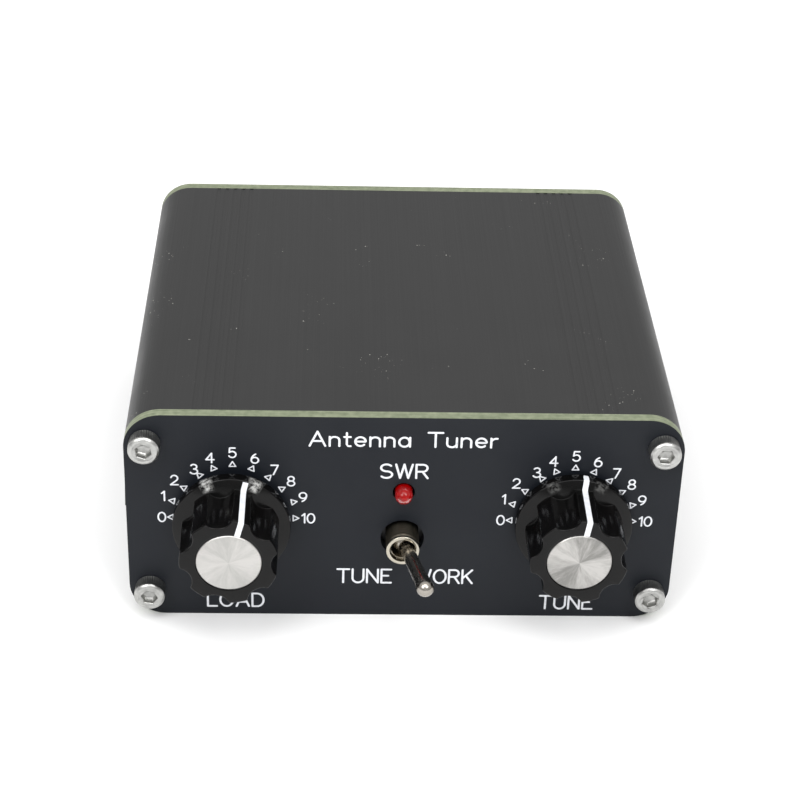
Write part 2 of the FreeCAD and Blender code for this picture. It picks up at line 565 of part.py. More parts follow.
def winding(turns, start, span, swell):
    """Wire wound round the toroid's section, ends brought down through the board."""
    inner, outer = CORE_INNER - 0.5 - swell, CORE_OUTER + 0.5 + swell
    low, high = -CORE_HEIGHT / 2 - 0.5 - swell, CORE_HEIGHT / 2 + 0.5 + swell
    centre_z = core_centre_z()

    def spot(radius, angle, z):
        turn = math.radians(angle)
        return V(radius * math.cos(turn), CORE_Y + radius * math.sin(turn), centre_z + z)

    step = span / turns
    points = [spot(outer + 1.6, start, LEAD_END_Z - centre_z), spot(outer + 1.6, start, low),
              spot(inner, start + step / 2, low)]
    for k in range(turns):
        angle = start + (k + 0.5) * step
        points += [spot(inner, angle, high), spot(outer, angle, high), spot(outer, angle, low)]
        if k < turns - 1:
            points.append(spot(inner, angle + step, low))
    last = start + span + step / 2
    points += [spot(outer + 1.6, last, low), spot(outer + 1.6, last, LEAD_END_Z - centre_z)]
    return swept(points, WIRE_RADIUS), [(points[0].x, points[0].y), (points[-1].x, points[-1].y)]


def core_centre_z():
    return BOARD_TOP + CORE_HEIGHT / 2 + CORE_LIFT


def build_board():
    pins = []
    core = Part.makeCylinder(CORE_OUTER, CORE_HEIGHT, V(0, CORE_Y, core_centre_z() - CORE_HEIGHT / 2))
    hole = Part.makeCylinder(CORE_INNER, CORE_HEIGHT + 2, V(0, CORE_Y, core_centre_z() - CORE_HEIGHT / 2 - 1))
    core = core.cut(hole)
    save("toroid_core", core.makeFillet(CORE_ROUNDING, core.Edges))

    coil, ends = winding(TURNS, *WINDING_ARC, 0)
    save("toroid_winding", coil)
    pins += ends
    link, ends = winding(LINK_TURNS, *LINK_ARC, LINK_SWELL)
    save("link_winding", link)
    pins += ends

    resistors = []
    for y in RESISTOR_YS:
        solid, ends = axial(RESISTOR_RADIUS, RESISTOR_LENGTH, RESISTOR_X, y)
        resistors.append(solid)
        pins += ends
    save("bridge_resistors", *resistors)
    diode, ends = axial(*DIODE)
    save("detector_diode", diode)
    pins += ends
    series, ends = axial(*LAMP_RESISTOR)
    save("lamp_resistor", series)
    pins += ends
    capacitors = []
    for x, y in DISC_PLACES:
        solid, ends = disc_capacitor(x, y)
        capacitors.append(solid)
        pins += ends
    save("board_capacitors", *capacitors)

    pins += [(x, -FACE_Y - LAMP_LEAD_BACK) for x in (-LAMP_LEAD_X, LAMP_LEAD_X)]
    back = SWITCH_BODY_H - SWITCH_BODY[1]
    pins += [(x, -FACE_Y - back + bend) for x in TERMINAL_X for bend in TERMINAL_BEND.values()]
    board = block((-BOARD_WIDTH / 2, BOARD_WIDTH / 2), (-BOARD_LENGTH / 2, BOARD_LENGTH / 2),
                  (BOARD_BOTTOM, BOARD_TOP))
    drills = [Part.makeCylinder(LEAD_HOLE, BOARD_THICK + 2, V(x, y, BOARD_BOTTOM - 1)) for x, y in pins]
    save("main_board", board.cut(Part.makeCompound(drills)))


# ---- rear connectors ----------------------------------------------------------------------
def jack_shell():
    """Bayonet coaxial jack: hexagon flange, barrel with two lugs, threaded tail through the panel."""
    flange = hexagon(HEX_FLANGE, 0, FLANGE_THICK)
    profile = [(0, JACK_TAIL), (JACK_THREAD, JACK_TAIL), (JACK_THREAD, 0.5), (JACK_RADIUS, 0.5),
               (JACK_RADIUS, JACK_REACH - 0.5), (JACK_RADIUS - 0.4, JACK_REACH), (0, JACK_REACH)]
    lug_tip = JACK_RADIUS + LUG_PROUD
    lugs = Part.makeCylinder(LUG_RADIUS, 2 * lug_tip, V(-lug_tip, -LUG_H, 0), V(1, 0, 0))
    shell = fuse(turned(profile), flange, lugs)
    shell = shell.cut(rod(JACK_BORE, JACK_BORE_FLOOR, JACK_REACH + 1))
    return shell.cut(rod(SLEEVE_RADIUS + FREE, JACK_TAIL - 1, JACK_BORE_FLOOR + 1))


def jack_insulator():
    sleeve = turned([(0, -8.0), (SLEEVE_RADIUS, -8.0), (SLEEVE_RADIUS, 13.0), (0, 13.0)])
    return sleeve.cut(rod(CONTACT_RADIUS + FREE, -9, 14))


def jack_contact():
    pin = rod(CONTACT_RADIUS, -11.0, 12.4)
    return pin.cut(rod(CONTACT_BORE, 6.0, 13))


def jack_nut():
    back = -PANEL - WASHER_THICK
    return hexagon(HEX_FLANGE, back - NUT_THICK, back).cut(rod(JACK_THREAD + FREE, -6, 0))


def jack_washer():
    return rod(WASHER_RADIUS, -PANEL - WASHER_THICK, -PANEL).cut(rod(JACK_THREAD + FREE, -6, 0))


def post_stud():
    """Threaded stud whose outer end is a 4 mm socket with a cross hole for bare wire."""
    profile = [(0, STUD_TAIL), (STUD_RADIUS, STUD_TAIL), (STUD_RADIUS, POST_BASE), (POST_RADIUS, POST_BASE),
               (POST_RADIUS, POST_REACH - 0.3), (POST_RADIUS - 0.3, POST_REACH), (0, POST_REACH)]
    stud = turned(profile).cut(rod(POST_BORE, POST_REACH - 13.0, POST_REACH + 1))
    cross = Part.makeCylinder(CROSS_HOLE_RADIUS, 2 * POST_RADIUS + 2, V(-POST_RADIUS - 1, -POST_BASE - 1.8, 0), V(1, 0, 0))
    return stud.cut(cross)


def post_base():
    profile = [(STUD_RADIUS + FREE, -PANEL + 0.1), (POST_SPIGOT, -PANEL + 0.1), (POST_SPIGOT, 0),
               (POST_BASE_RADIUS, 0), (POST_BASE_RADIUS, POST_BASE - 0.5), (POST_BASE_RADIUS - 0.5, POST_BASE),
               (STUD_RADIUS + FREE, POST_BASE)]
    return turned(profile)


def post_cap():
    """Screw-down cap with ridges, open right through for a plug."""
    low, high = POST_BASE + 0.3, POST_REACH + 0.6
    bore = POST_RADIUS + FREE
    cap = turned([(bore, low), (POST_CAP_RADIUS - 0.3, low), (POST_CAP_RADIUS, low + 0.3),
                  (POST_CAP_RADIUS, high - 1.0), (POST_CAP_RADIUS - 1.0, high), (bore, high)])
    grooves = []
    for k in range(POST_GRIP_COUNT):
        turn = 2 * math.pi * k / POST_GRIP_COUNT
        grooves.append(rod(POST_GRIP_RADIUS, low + 2.5, high + 1,
                           POST_CAP_RADIUS * math.cos(turn), POST_CAP_RADIUS * math.sin(turn)))
    return cap.cut(Part.makeCompound(grooves))


def post_rear_bush():
    return rod(POST_BASE_RADIUS, -PANEL - POST_BUSH_THICK, -PANEL).cut(rod(STUD_RADIUS + FREE, -9, 0))


def post_nut():
    back = -PANEL - POST_BUSH_THICK
    return hexagon(POST_NUT_FLATS, back - POST_NUT_THICK, back).cut(rod(STUD_RADIUS + FREE, -9, 0))


def hookup_wire(x, tail_h):
    """Insulated wire from a connector's tail down to the board."""
    y = FACE_Y + tail_h
    return swept([V(x, y, MID_Z), V(x, y - 4.0, MID_Z), V(x, y - 4.0, BOARD_TOP)], HOOKUP_RADIUS)


def build_rear():
    jacks, posts = (-JACK_X, JACK_X), (-POST_X, POST_X)

    def pair(shape, places):
        return [at_rear(shape, x, MID_Z) for x in places]

    save("antenna_jack", at_rear(jack_shell(), -JACK_X, MID_Z))
    save("radio_jack", at_rear(jack_shell(), JACK_X, MID_Z))
    save("jack_insulators", *pair(jack_insulator(), jacks))
    save("jack_contacts", *pair(jack_contact(), jacks))
    save("jack_washers", *pair(jack_washer(), jacks))
    save("jack_nuts", *pair(jack_nut(), jacks))
    save("post_studs", *pair(post_stud(), posts))
    save("black_post_base", at_rear(post_base(), -POST_X, MID_Z))
    save("red_post_base", at_rear(post_base(), POST_X, MID_Z))
    save("black_post_cap", at_rear(post_cap(), -POST_X, MID_Z))
    save("red_post_cap", at_rear(post_cap(), POST_X, MID_Z))
    save("post_rear_bushes", *pair(post_rear_bush(), posts))
    save("post_nuts", *pair(post_nut(), posts))
    save("hookup_wires", *[hookup_wire(x, -11.0) for x in jacks], *[hookup_wire(x, -12.0) for x in posts])


os.makedirs("parts", exist_ok=True)
build_enclosure()
build_controls()
build_switch()
build_lamp()
build_board()
build_rear()
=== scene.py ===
import json
import math

import bpy
from mathutils import Matrix, Vector


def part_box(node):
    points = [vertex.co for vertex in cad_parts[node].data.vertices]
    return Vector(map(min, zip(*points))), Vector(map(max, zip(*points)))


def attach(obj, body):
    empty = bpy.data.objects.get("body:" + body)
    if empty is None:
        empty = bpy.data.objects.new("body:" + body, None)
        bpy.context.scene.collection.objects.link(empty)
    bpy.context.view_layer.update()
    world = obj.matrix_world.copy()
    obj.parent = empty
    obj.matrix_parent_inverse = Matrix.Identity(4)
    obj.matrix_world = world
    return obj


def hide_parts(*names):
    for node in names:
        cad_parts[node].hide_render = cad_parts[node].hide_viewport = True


# Looks of the antenna tuner. Metres in the CAD frame: +X right seen from the front, +Y to the rear,
# +Z up, origin under the middle of the case. h is a distance out of a panel's face.

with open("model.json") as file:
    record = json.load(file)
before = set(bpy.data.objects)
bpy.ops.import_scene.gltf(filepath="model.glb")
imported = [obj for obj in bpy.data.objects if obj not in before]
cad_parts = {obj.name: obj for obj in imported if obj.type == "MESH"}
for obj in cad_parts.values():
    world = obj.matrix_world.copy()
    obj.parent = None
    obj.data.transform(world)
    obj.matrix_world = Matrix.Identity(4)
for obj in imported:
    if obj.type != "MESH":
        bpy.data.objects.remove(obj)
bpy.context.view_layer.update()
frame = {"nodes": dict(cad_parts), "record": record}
MM = 0.001

# ---- places and sizes, from the frame ---------------------------------------------------------
PANEL_LOW, PANEL_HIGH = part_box("front_panel")
FRONT_Y = PANEL_LOW.y
REAR_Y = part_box("rear_panel")[1].y
TOP_Z = PANEL_HIGH.z
MID_Z = TOP_Z / 2


def middle(node):
    low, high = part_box(node)
    return (low + high) / 2


# Knobs
KNOB_BACK = {"load": 1.45 * MM, "tune": 0.55 * MM}         # gap between panel and knob
POINTER_ANGLE = {"load": 15.0, "tune": 8.5}              # clockwise from upright, seen from the front
KNOB_HEIGHT, SKIRT_HEIGHT, SKIRT_RADIUS = 12.15 * MM, 1.95 * MM, 10.3 * MM
LEDGE_SLOPE = 0.3                                        # rise of the skirt's top towards the grip
CREST_BASE, CREST_FACE, FLUTE_FLOOR, FLUTE_RADIUS = 8.6 * MM, 8.5 * MM, 7.2 * MM, 2.9 * MM
FLUTES, FLUTE_BLEND = 7, 0.10 * MM
EDGE, FOOT, GRIP_ROWS = 0.22 * MM, 0.12 * MM, 5          # roundings at the grip's face and at its foot
BUSH_HOLE, BUSH_DEPTH = 4.75 * MM, 9.8 * MM
CAP_RADIUS, CAP_SUNK, CAP_TOP, CAP_GAP = 5.6 * MM, 0.5 * MM, 0.1 * MM, 0.05 * MM
# The seat of the disc in the face: how far beyond the disc's edge, and how far below the face.
CAP_SEAT = ((0.55 * MM, 0.0), (0.15 * MM, 0.02 * MM), (CAP_GAP, 0.12 * MM), (CAP_GAP, CAP_SUNK))
POINTER_WIDTH, INK = 0.98 * MM, 0.03 * MM

# Panel screws; each row is in millimetres, from the seat of the head up
HEAD_RADIUS, HEAD_HEIGHT, SHANK_RADIUS, SHANK_LENGTH = 2.75 * MM, 3.0 * MM, 1.5 * MM, 8.0 * MM
HEX_FLATS, KNURLS = 2.5 * MM, 40
UNDERCUT = 0.03 * MM
KNURL_ROWS = ((0.3, 0.11), (1.2, 0.11), (2.2, 0.11), (2.3, 0.03))       # height, depth of the knurls
SOCKET_ROWS = ((0.34, 2.96), (0.1, 2.88), (0.0, 2.7), (0.0, 1.5))       # widening of the hexagon, height
DRILL_ROWS = ((0.9, 1.45), (0.2, 1.1))                                  # radius, height
HEX_TURNS = (8, 20, 37, 2)                                              # degrees, one screw each

# Switch, its heights counted from the lever's pivot or from the panel's face
PIVOT = Vector((0, FRONT_Y - 0.5 * MM, middle("toggle_bushing").z))
LEVER_TILT = 14.1
BALL, NECK, TIP, REACH = 2.0 * MM, 1.2 * MM, 1.55 * MM, 16.15 * MM
TAIL_RADIUS, TAIL_END, TAIL_DOME = 0.9 * MM, -8.6 * MM, 0.2 * MM
NECK_START, SWELL_START = 2.2 * MM, 2.6 * MM
BUSHING_BACK, BUSHING_FRONT = -3.4 * MM, 3.88 * MM
BORE, MOUTH, COLLAR = 2.06 * MM, 2.3 * MM, 2.94 * MM
THREAD_ROOT, THREAD_CREST = 2.62 * MM, 2.93 * MM
THREAD_START, THREAD_PITCH, THREAD_TURNS = -3.2 * MM, 0.5 * MM, 12
COVER_THICKNESS, COVER_HOLE = 0.6 * MM, 2.9 * MM

# Lamp, its heights counted from the panel's face
LENS_RADIUS, LENS_DOME, FLANGE_RADIUS = 1.55 * MM, 1.05 * MM, 1.9 * MM
CUP = ((0, -2.6), (0.95, -2.6), (1.0, -2.3), (1.0, -1.3), (0.92, -1.2), (0.5, -1.7), (0, -1.7))


# ---- mesh helpers -------------------------------------------------------------------------------
def make_object(name, points, faces, material, body, smooth=True, at=(0, 0, 0)):
    mesh = bpy.data.meshes.new(name)
    mesh.from_pydata([tuple(p) for p in points], [], faces)
    mesh.materials.append(material)
    for polygon in mesh.polygons:
        polygon.use_smooth = smooth
    piece = bpy.data.objects.new(name, mesh)
    bpy.context.scene.collection.objects.link(piece)
    piece.location = at
    if smooth:
        weighted = piece.modifiers.new("even_shading", "WEIGHTED_NORMAL")
        weighted.keep_sharp = True
    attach(piece, body)
    return piece


def loft(rings, close_start=True, close_end=True):
    """Points and faces joining equal-sized rings; each end is closed by a fan round its middle."""
    count = len(rings[0])
    points = [p for ring in rings for p in ring]
    faces = []
    for row in range(len(rings) - 1):
        a, b = row * count, (row + 1) * count
        for k in range(count):
            n = (k + 1) % count
            faces.append((a + k, a + n, b + n, b + k))
    for wanted, row, flip in ((close_start, 0, True), (close_end, len(rings) - 1, False)):
        if wanted:
            ring = rings[row]
            points.append(sum((Vector(p) for p in ring), Vector()) / count)
            hub, a = len(points) - 1, row * count
            for k in range(count):
                edge = (a + k, a + (k + 1) % count)
                faces.append((edge[1], edge[0], hub) if flip else (edge[0], edge[1], hub))
    return points, faces


def ring(radius, h, count, turn=0.0):
    """Ring about the panel's normal, at a height h. radius may be a function of the angle."""
    points = []
    for k in range(count):
        angle = 2 * math.pi * k / count
        r = radius(angle) if callable(radius) else radius
        points.append(Vector((r * math.sin(angle + turn), -h, r * math.cos(angle + turn))))
    return points


def corner(before, at, after, size, steps=3):
    """Points of a profile corner rounded by a quadratic curve of about that size."""
    before, at, after = Vector(before), Vector(at), Vector(after)
    start = at + (before - at).normalized() * size
    end = at + (after - at).normalized() * size
    return [start.lerp(at, t).lerp(at.lerp(end, t), t) for t in (k / steps for k in range(steps + 1))]


def rounded_profile(points, sizes):
    """Profile of (radius, h) pairs whose inner corners are rounded by the given sizes."""
    out = [Vector(points[0])]
    for k in range(1, len(points) - 1):
        size = sizes[k - 1]
        out += corner(points[k - 1], points[k], points[k + 1], size) if size else [Vector(points[k])]
    return out + [Vector(points[-1])]


def lathe(profile, count=96):
    return loft([ring(max(p.x, 1e-7), p.y, count) for p in profile])


def joined(parts):
    """Several (points, faces) pairs as one mesh."""
    points, faces = [], []
    for more_points, more_faces in parts:
        base = len(points)
        points += more_points
        faces += [tuple(base + i for i in face) for face in more_faces]
    return points, faces


def moved(part, matrix):
    return [matrix @ Vector(p) for p in part[0]], part[1]


# ---- material helpers -----------------------------------------------------------------------------
NAMES = {"coat": "Coat Weight", "coat_roughness": "Coat Roughness", "transmission": "Transmission Weight",
         "ior": "IOR", "specular": "Specular IOR Level", "subsurface": "Subsurface Weight",
         "subsurface_scale": "Subsurface Scale", "subsurface_radius": "Subsurface Radius"}


def srgb(red, green, blue):
    """0 to 255 screen values as the linear colour that shaders use."""
    def linear(value):
        value /= 255
        return value / 12.92 if value <= 0.04045 else ((value + 0.055) / 1.055) ** 2.4

    return (linear(red), linear(green), linear(blue), 1.0)


class Shader:
    """A material's node tree, with short calls for the nodes used here."""

    def __init__(self, name):
        self.material = bpy.data.materials.new(name)
        self.material.use_nodes = True
        self.tree = self.material.node_tree
        self.surface = self.tree.nodes["Principled BSDF"]
        self.place = self.tree.nodes.new("ShaderNodeTexCoord").outputs["Object"]

    def set(self, **values):
        for key, value in values.items():
            socket = NAMES.get(key, key.replace("_", " ").capitalize())
            self.surface.inputs[socket].default_value = value
        return self

    def link(self, source, target):
        self.tree.links.new(source, target)

    def stretched(self, x, y, z):
        mapping = self.tree.nodes.new("ShaderNodeMapping")
        mapping.inputs["Scale"].default_value = (x, y, z)
        self.link(self.place, mapping.inputs["Vector"])
        return mapping.outputs["Vector"]

    def noise(self, scale, detail=3.0, vector=None, roughness=0.55):
        node = self.tree.nodes.new("ShaderNodeTexNoise")
        node.inputs["Scale"].default_value = scale
        node.inputs["Detail"].default_value = detail
        node.inputs["Roughness"].default_value = roughness
        self.link(vector or self.place, node.inputs["Vector"])
        return node.outputs["Fac"]

    def ramp(self, value, stops):
        node = self.tree.nodes.new("ShaderNodeValToRGB")
        elements = node.color_ramp.elements
        while len(elements) < len(stops):
            elements.new(0.5)
        for element, (position, colour) in zip(elements, stops):
            element.position = position
            element.color = colour if len(colour) == 4 else (*colour, 1.0)
        self.link(value, node.inputs["Fac"])
        return node.outputs["Color"]

    def span(self, value, low, high, start=0.3, end=0.7):
        node = self.tree.nodes.new("ShaderNodeMapRange")
        for key, number in zip(("From Min", "From Max", "To Min", "To Max"), (start, end, low, high)):
            node.inputs[key].default_value = number
        self.link(value, node.inputs["Value"])
        return node.outputs["Result"]

    def maths(self, operation, first, second=None):
        node = self.tree.nodes.new("ShaderNodeMath")
        node.operation = operation
        for socket, item in zip(node.inputs, (first, second)):
            if isinstance(item, (int, float)):
                socket.default_value = item
            elif item is not None:
                self.link(item, socket)
        return node.outputs["Value"]

    def mix(self, factor, first, second, kind="MIX"):
        node = self.tree.nodes.new("ShaderNodeMix")
        node.data_type = "RGBA"
        node.blend_type = kind
        sockets = (node.inputs["Factor"], node.inputs[6], node.inputs[7])
        for socket, item in zip(sockets, (factor, first, second)):
            if isinstance(item, (int, float, tuple)):
                socket.default_value = item
            else:
                self.link(item, socket)
        return node.outputs[2]

    def axes(self, vector=None):
        node = self.tree.nodes.new("ShaderNodeSeparateXYZ")
        self.link(vector or self.place, node.inputs["Vector"])
        return node.outputs

    def bump(self, height, distance, strength=1.0):
        node = self.tree.nodes.new("ShaderNodeBump")
        node.inputs["Distance"].default_value = distance
        node.inputs["Strength"].default_value = strength
        self.link(height, node.inputs["Height"])
        self.link(node.outputs["Normal"], self.surface.inputs["Normal"])

    def colour(self, source):
        self.link(source, self.surface.inputs["Base Color"])

    def roughness(self, source):
        self.link(source, self.surface.inputs["Roughness"])

    def from_axis(self, axes):
        """Distance from the object's Y axis."""
        squares = (self.maths("MULTIPLY", axes[key], axes[key]) for key in ("X", "Z"))
        return self.maths("SQRT", self.maths("ADD", *squares))


def shade(colour, factor):
    return tuple(min(1.0, c * factor) for c in colour[:3]) + (1.0,)


def plain_surface(name, colour, rough, metal=0.0, vary=0.12, grain=900.0, bump=0.01, **sockets):
    """Moulded, plated or painted surface: mottled colour and gloss, and a fine grain."""
    s = Shader(name).set(metallic=metal, **sockets)
    cloud = s.noise(180.0, 4.0)
    s.colour(s.ramp(cloud, [(0.3, shade(colour, 1 - vary)), (0.7, shade(colour, 1 + vary))]))
    s.roughness(s.span(s.noise(420.0, 3.0), rough * 0.82, rough * 1.2))
    s.bump(s.noise(grain, 4.0), bump * MM)
    return s.material


def anodised_case():
    """Black anodised extrusion: die lines along Y, soft mottling and a few specks of dust."""
    s = Shader("anodised_case").set(metallic=0.0, specular=0.3)
    lines = s.noise(1.0, 4.0, s.stretched(5200, 14, 5200), 0.7)
    mottle = s.noise(70.0, 5.0)
    body = s.ramp(mottle, [(0.3, srgb(33, 33, 33)), (0.7, srgb(39, 39, 39))])
    dust = s.noise(2600.0, 1.0, roughness=0.3)
    where = s.noise(95.0, 2.0)
    speck = s.maths("MULTIPLY", s.span(dust, 0.0, 1.0, 0.745, 0.77), s.span(where, 0.0, 1.0, 0.62, 0.66))
    s.colour(s.mix(speck, body, srgb(200, 198, 190)))
    both = s.maths("ADD", s.maths("MULTIPLY", lines, 0.5), s.maths("MULTIPLY", mottle, 0.5))
    s.roughness(s.span(both, 0.36, 0.52))
    s.bump(lines, 0.006 * MM)
    return s.material


def panel_board():
    """Glass-fibre board: blue-black solder mask on the faces, olive laminate with layers at the edges.

    Walls of holes, which lie inside both rim distances, are dark like the faces.
    """
    rim_from_middle, rim_from_mid_height = 40 * MM, 18 * MM
    s = Shader("panel_board").set(metallic=0.0, specular=0.2)
    normal = s.tree.nodes.new("ShaderNodeNewGeometry").outputs["Normal"]
    place = s.axes()
    rim_x = s.maths("GREATER_THAN", s.maths("ABSOLUTE", place["X"]), rim_from_middle)
    above = s.maths("ABSOLUTE", s.maths("SUBTRACT", place["Z"], MID_Z))
    rim_z = s.maths("GREATER_THAN", above, rim_from_mid_height)
    inner = s.maths("SUBTRACT", 1.0, s.maths("MAXIMUM", rim_x, rim_z))
    facing = s.maths("MAXIMUM", s.maths("GREATER_THAN", s.maths("ABSOLUTE", s.axes(normal)["Y"]), 0.6), inner)
    mask = s.ramp(s.noise(60.0, 4.0), [(0.3, srgb(19, 22, 28)), (0.7, srgb(23, 26, 31))])
    layers = s.noise(1.0, 3.0, s.stretched(60, 5200, 60))
    weave = s.noise(900.0, 2.0)
    glass = s.ramp(s.maths("ADD", s.maths("MULTIPLY", layers, 0.6), s.maths("MULTIPLY", weave, 0.4)),
                   [(0.35, srgb(98, 106, 84)), (0.65, srgb(138, 144, 120))])
    s.colour(s.mix(facing, glass, mask))
    s.roughness(s.span(s.noise(240.0, 3.0), 0.40, 0.52))
    s.bump(s.noise(520.0, 3.0), 0.008 * MM)
    return s.material


def knob_black(name, painted_highlight):
    """Glossy black phenolic, finely scuffed, with a painted highlight on the skirt's ledge at either side of
    upright.
    """
    # Between these two distances from the axis, and between these two along it, the painted highlight sets in.
    radii, heights = (8.7 * MM, 9.2 * MM), (-1.6 * MM, -2.2 * MM)
    patch_angle, patch_core, patch_end = (math.radians(a) for a in (25, 3, 8))
    s = Shader(name).set(metallic=0.0, specular=0.2)
    black = s.ramp(s.noise(160.0, 4.0), [(0.3, srgb(5, 5, 5)), (0.7, srgb(9, 8, 8))])
    axes = s.axes()
    ledge_highlight = s.span(s.from_axis(axes), 0.0, 1.0, *radii)
    ledge_highlight = s.maths("MULTIPLY", ledge_highlight, s.span(axes["Y"], 0.0, 1.0, *heights))
    angle = s.maths("ABSOLUTE", s.maths("ARCTAN2", axes["X"], axes["Z"]))
    off = s.maths("ABSOLUTE", s.maths("SUBTRACT", angle, patch_angle))
    ledge_highlight = s.maths("MULTIPLY", ledge_highlight, s.span(off, 1.0, 0.0, patch_core, patch_end))
    patch = s.span(s.noise(1100.0, 5.0, roughness=0.7), 0.0, 1.0, 0.42, 0.62)
    ledge_highlight = s.maths("MULTIPLY", ledge_highlight, patch)
    # Painted highlight: light grey mixed into the black on the ledge at either side of upright.
    s.colour(s.mix(s.maths("MULTIPLY", ledge_highlight, painted_highlight), black, srgb(225, 225, 222)))
    scuff = s.noise(1.0, 4.0, s.stretched(1900, 500, 1900), 0.7)
    s.roughness(s.span(scuff, 0.10, 0.2))
    s.bump(s.noise(260.0, 2.0), 0.006 * MM)
    return s.material


def white_ink():
    s = Shader("white_ink").set(metallic=0.0, specular=0.4)
    s.colour(s.ramp(s.noise(900.0, 3.0), [(0.3, srgb(205, 207, 212)), (0.7, srgb(226, 228, 232))]))
    s.roughness(s.span(s.noise(1500.0, 2.0), 0.42, 0.6))
    s.bump(s.noise(2600.0, 3.0), 0.006 * MM)
    return s.material


def spun_aluminium(name, low, high, lean):
    """Turned disc: fine rings, and a painted sheen in fans between two greys; lean turns the fans round it."""
    ring_pitch = 0.09 * MM
    s = Shader(name).set(metallic=1.0)
    s.surface.inputs["Anisotropic"].default_value = 0.75
    tangent = s.tree.nodes.new("ShaderNodeTangent")
    tangent.direction_type = "RADIAL"
    tangent.axis = "Y"
    s.link(tangent.outputs["Tangent"], s.surface.inputs["Tangent"])
    axes = s.axes()
    radius = s.from_axis(axes)
    angle = s.maths("ARCTAN2", axes["Z"], axes["X"])
    rings = s.maths("SINE", s.maths("MULTIPLY", radius, 2 * math.pi / ring_pitch))
    combined = s.tree.nodes.new("ShaderNodeCombineXYZ")
    s.link(s.maths("COSINE", angle), combined.inputs["X"])
    s.link(s.maths("SINE", angle), combined.inputs["Y"])
    s.link(s.maths("MULTIPLY", radius, 60.0), combined.inputs["Z"])
    fans = s.noise(3.2, 4.0, combined.outputs["Vector"], 0.7)
    sweep = s.maths("SINE", s.maths("ADD", s.maths("MULTIPLY", angle, 2.0), lean))
    fans = s.maths("ADD", s.maths("MULTIPLY", sweep, 0.14), fans)
    # Painted sheen: the fans set the colour between the two greys.
    s.colour(s.ramp(fans, [(0.3, low), (0.7, high)]))
    s.roughness(s.span(fans, 0.36, 0.28))
    s.bump(rings, 0.0015 * MM)
    return s.material


def screw_steel():
    """Bright stainless, a little warm, mottled and finely grained."""
    s = Shader("screw_steel").set(metallic=1.0)
    s.colour(s.ramp(s.noise(700.0, 4.0), [(0.3, srgb(160, 160, 158)), (0.7, srgb(186, 186, 183))]))
    s.roughness(s.span(s.noise(1.0, 3.0, s.stretched(1800, 1800, 1800)), 0.28, 0.42))
    s.bump(s.noise(2400.0, 3.0), 0.0025 * MM)
    return s.material


def plated(name, colour, rough):
    """Polished plating with hairline polishing marks."""
    s = Shader(name).set(metallic=1.0)
    s.colour(s.ramp(s.noise(300.0, 3.0), [(0.3, shade(colour, 0.9)), (0.7, shade(colour, 1.08))]))
    s.roughness(s.span(s.noise(1.0, 4.0, s.stretched(3000, 400, 3000), 0.7), rough * 0.7, rough * 1.5))
    s.bump(s.noise(1400.0, 3.0), 0.002 * MM)
    return s.material


def lamp_red():
    """Red epoxy that lets a little light through."""
    s = Shader("lamp_red").set(metallic=0.0, specular=0.35, transmission=0.2, ior=1.45, subsurface=0.1,
                               subsurface_scale=0.8 * MM, subsurface_radius=(1.0, 0.15, 0.1))
    s.colour(s.ramp(s.noise(900.0, 2.0), [(0.3, srgb(138, 1, 2)), (0.7, srgb(168, 4, 4))]))
    s.roughness(s.span(s.noise(1500.0, 2.0), 0.05, 0.10))
    s.bump(s.noise(800.0, 2.0), 0.006 * MM)
    return s.material


def main_board():
    """Green mask over copper areas and tracks."""
    s = Shader("main_board").set(metallic=0.0, coat=0.4)
    cells = s.tree.nodes.new("ShaderNodeTexVoronoi")
    cells.feature = "DISTANCE_TO_EDGE"
    cells.inputs["Scale"].default_value = 160.0
    s.link(s.place, cells.inputs["Vector"])
    s.colour(s.ramp(cells.outputs["Distance"], [(0.06, srgb(14, 62, 30)), (0.1, srgb(26, 96, 48))]))
    s.roughness(s.span(s.noise(500.0, 2.0), 0.25, 0.4))
    s.bump(cells.outputs["Distance"], 0.02 * MM)
    return s.material


def component_body():
    """Painted component bodies with bands across X."""
    band_pitch = 3.1 * MM
    s = Shader("component_body").set(metallic=0.0, coat=0.2)
    bands = s.maths("SINE", s.maths("MULTIPLY", s.axes()["X"], 2 * math.pi / band_pitch))
    s.colour(s.ramp(bands, [(0.0, srgb(178, 160, 120)), (0.86, srgb(168, 150, 112)),
                            (0.9, srgb(96, 30, 20))]))
    s.roughness(s.span(s.noise(700.0, 2.0), 0.3, 0.5))
    s.bump(s.noise(900.0, 3.0), 0.02 * MM)
    return s.material


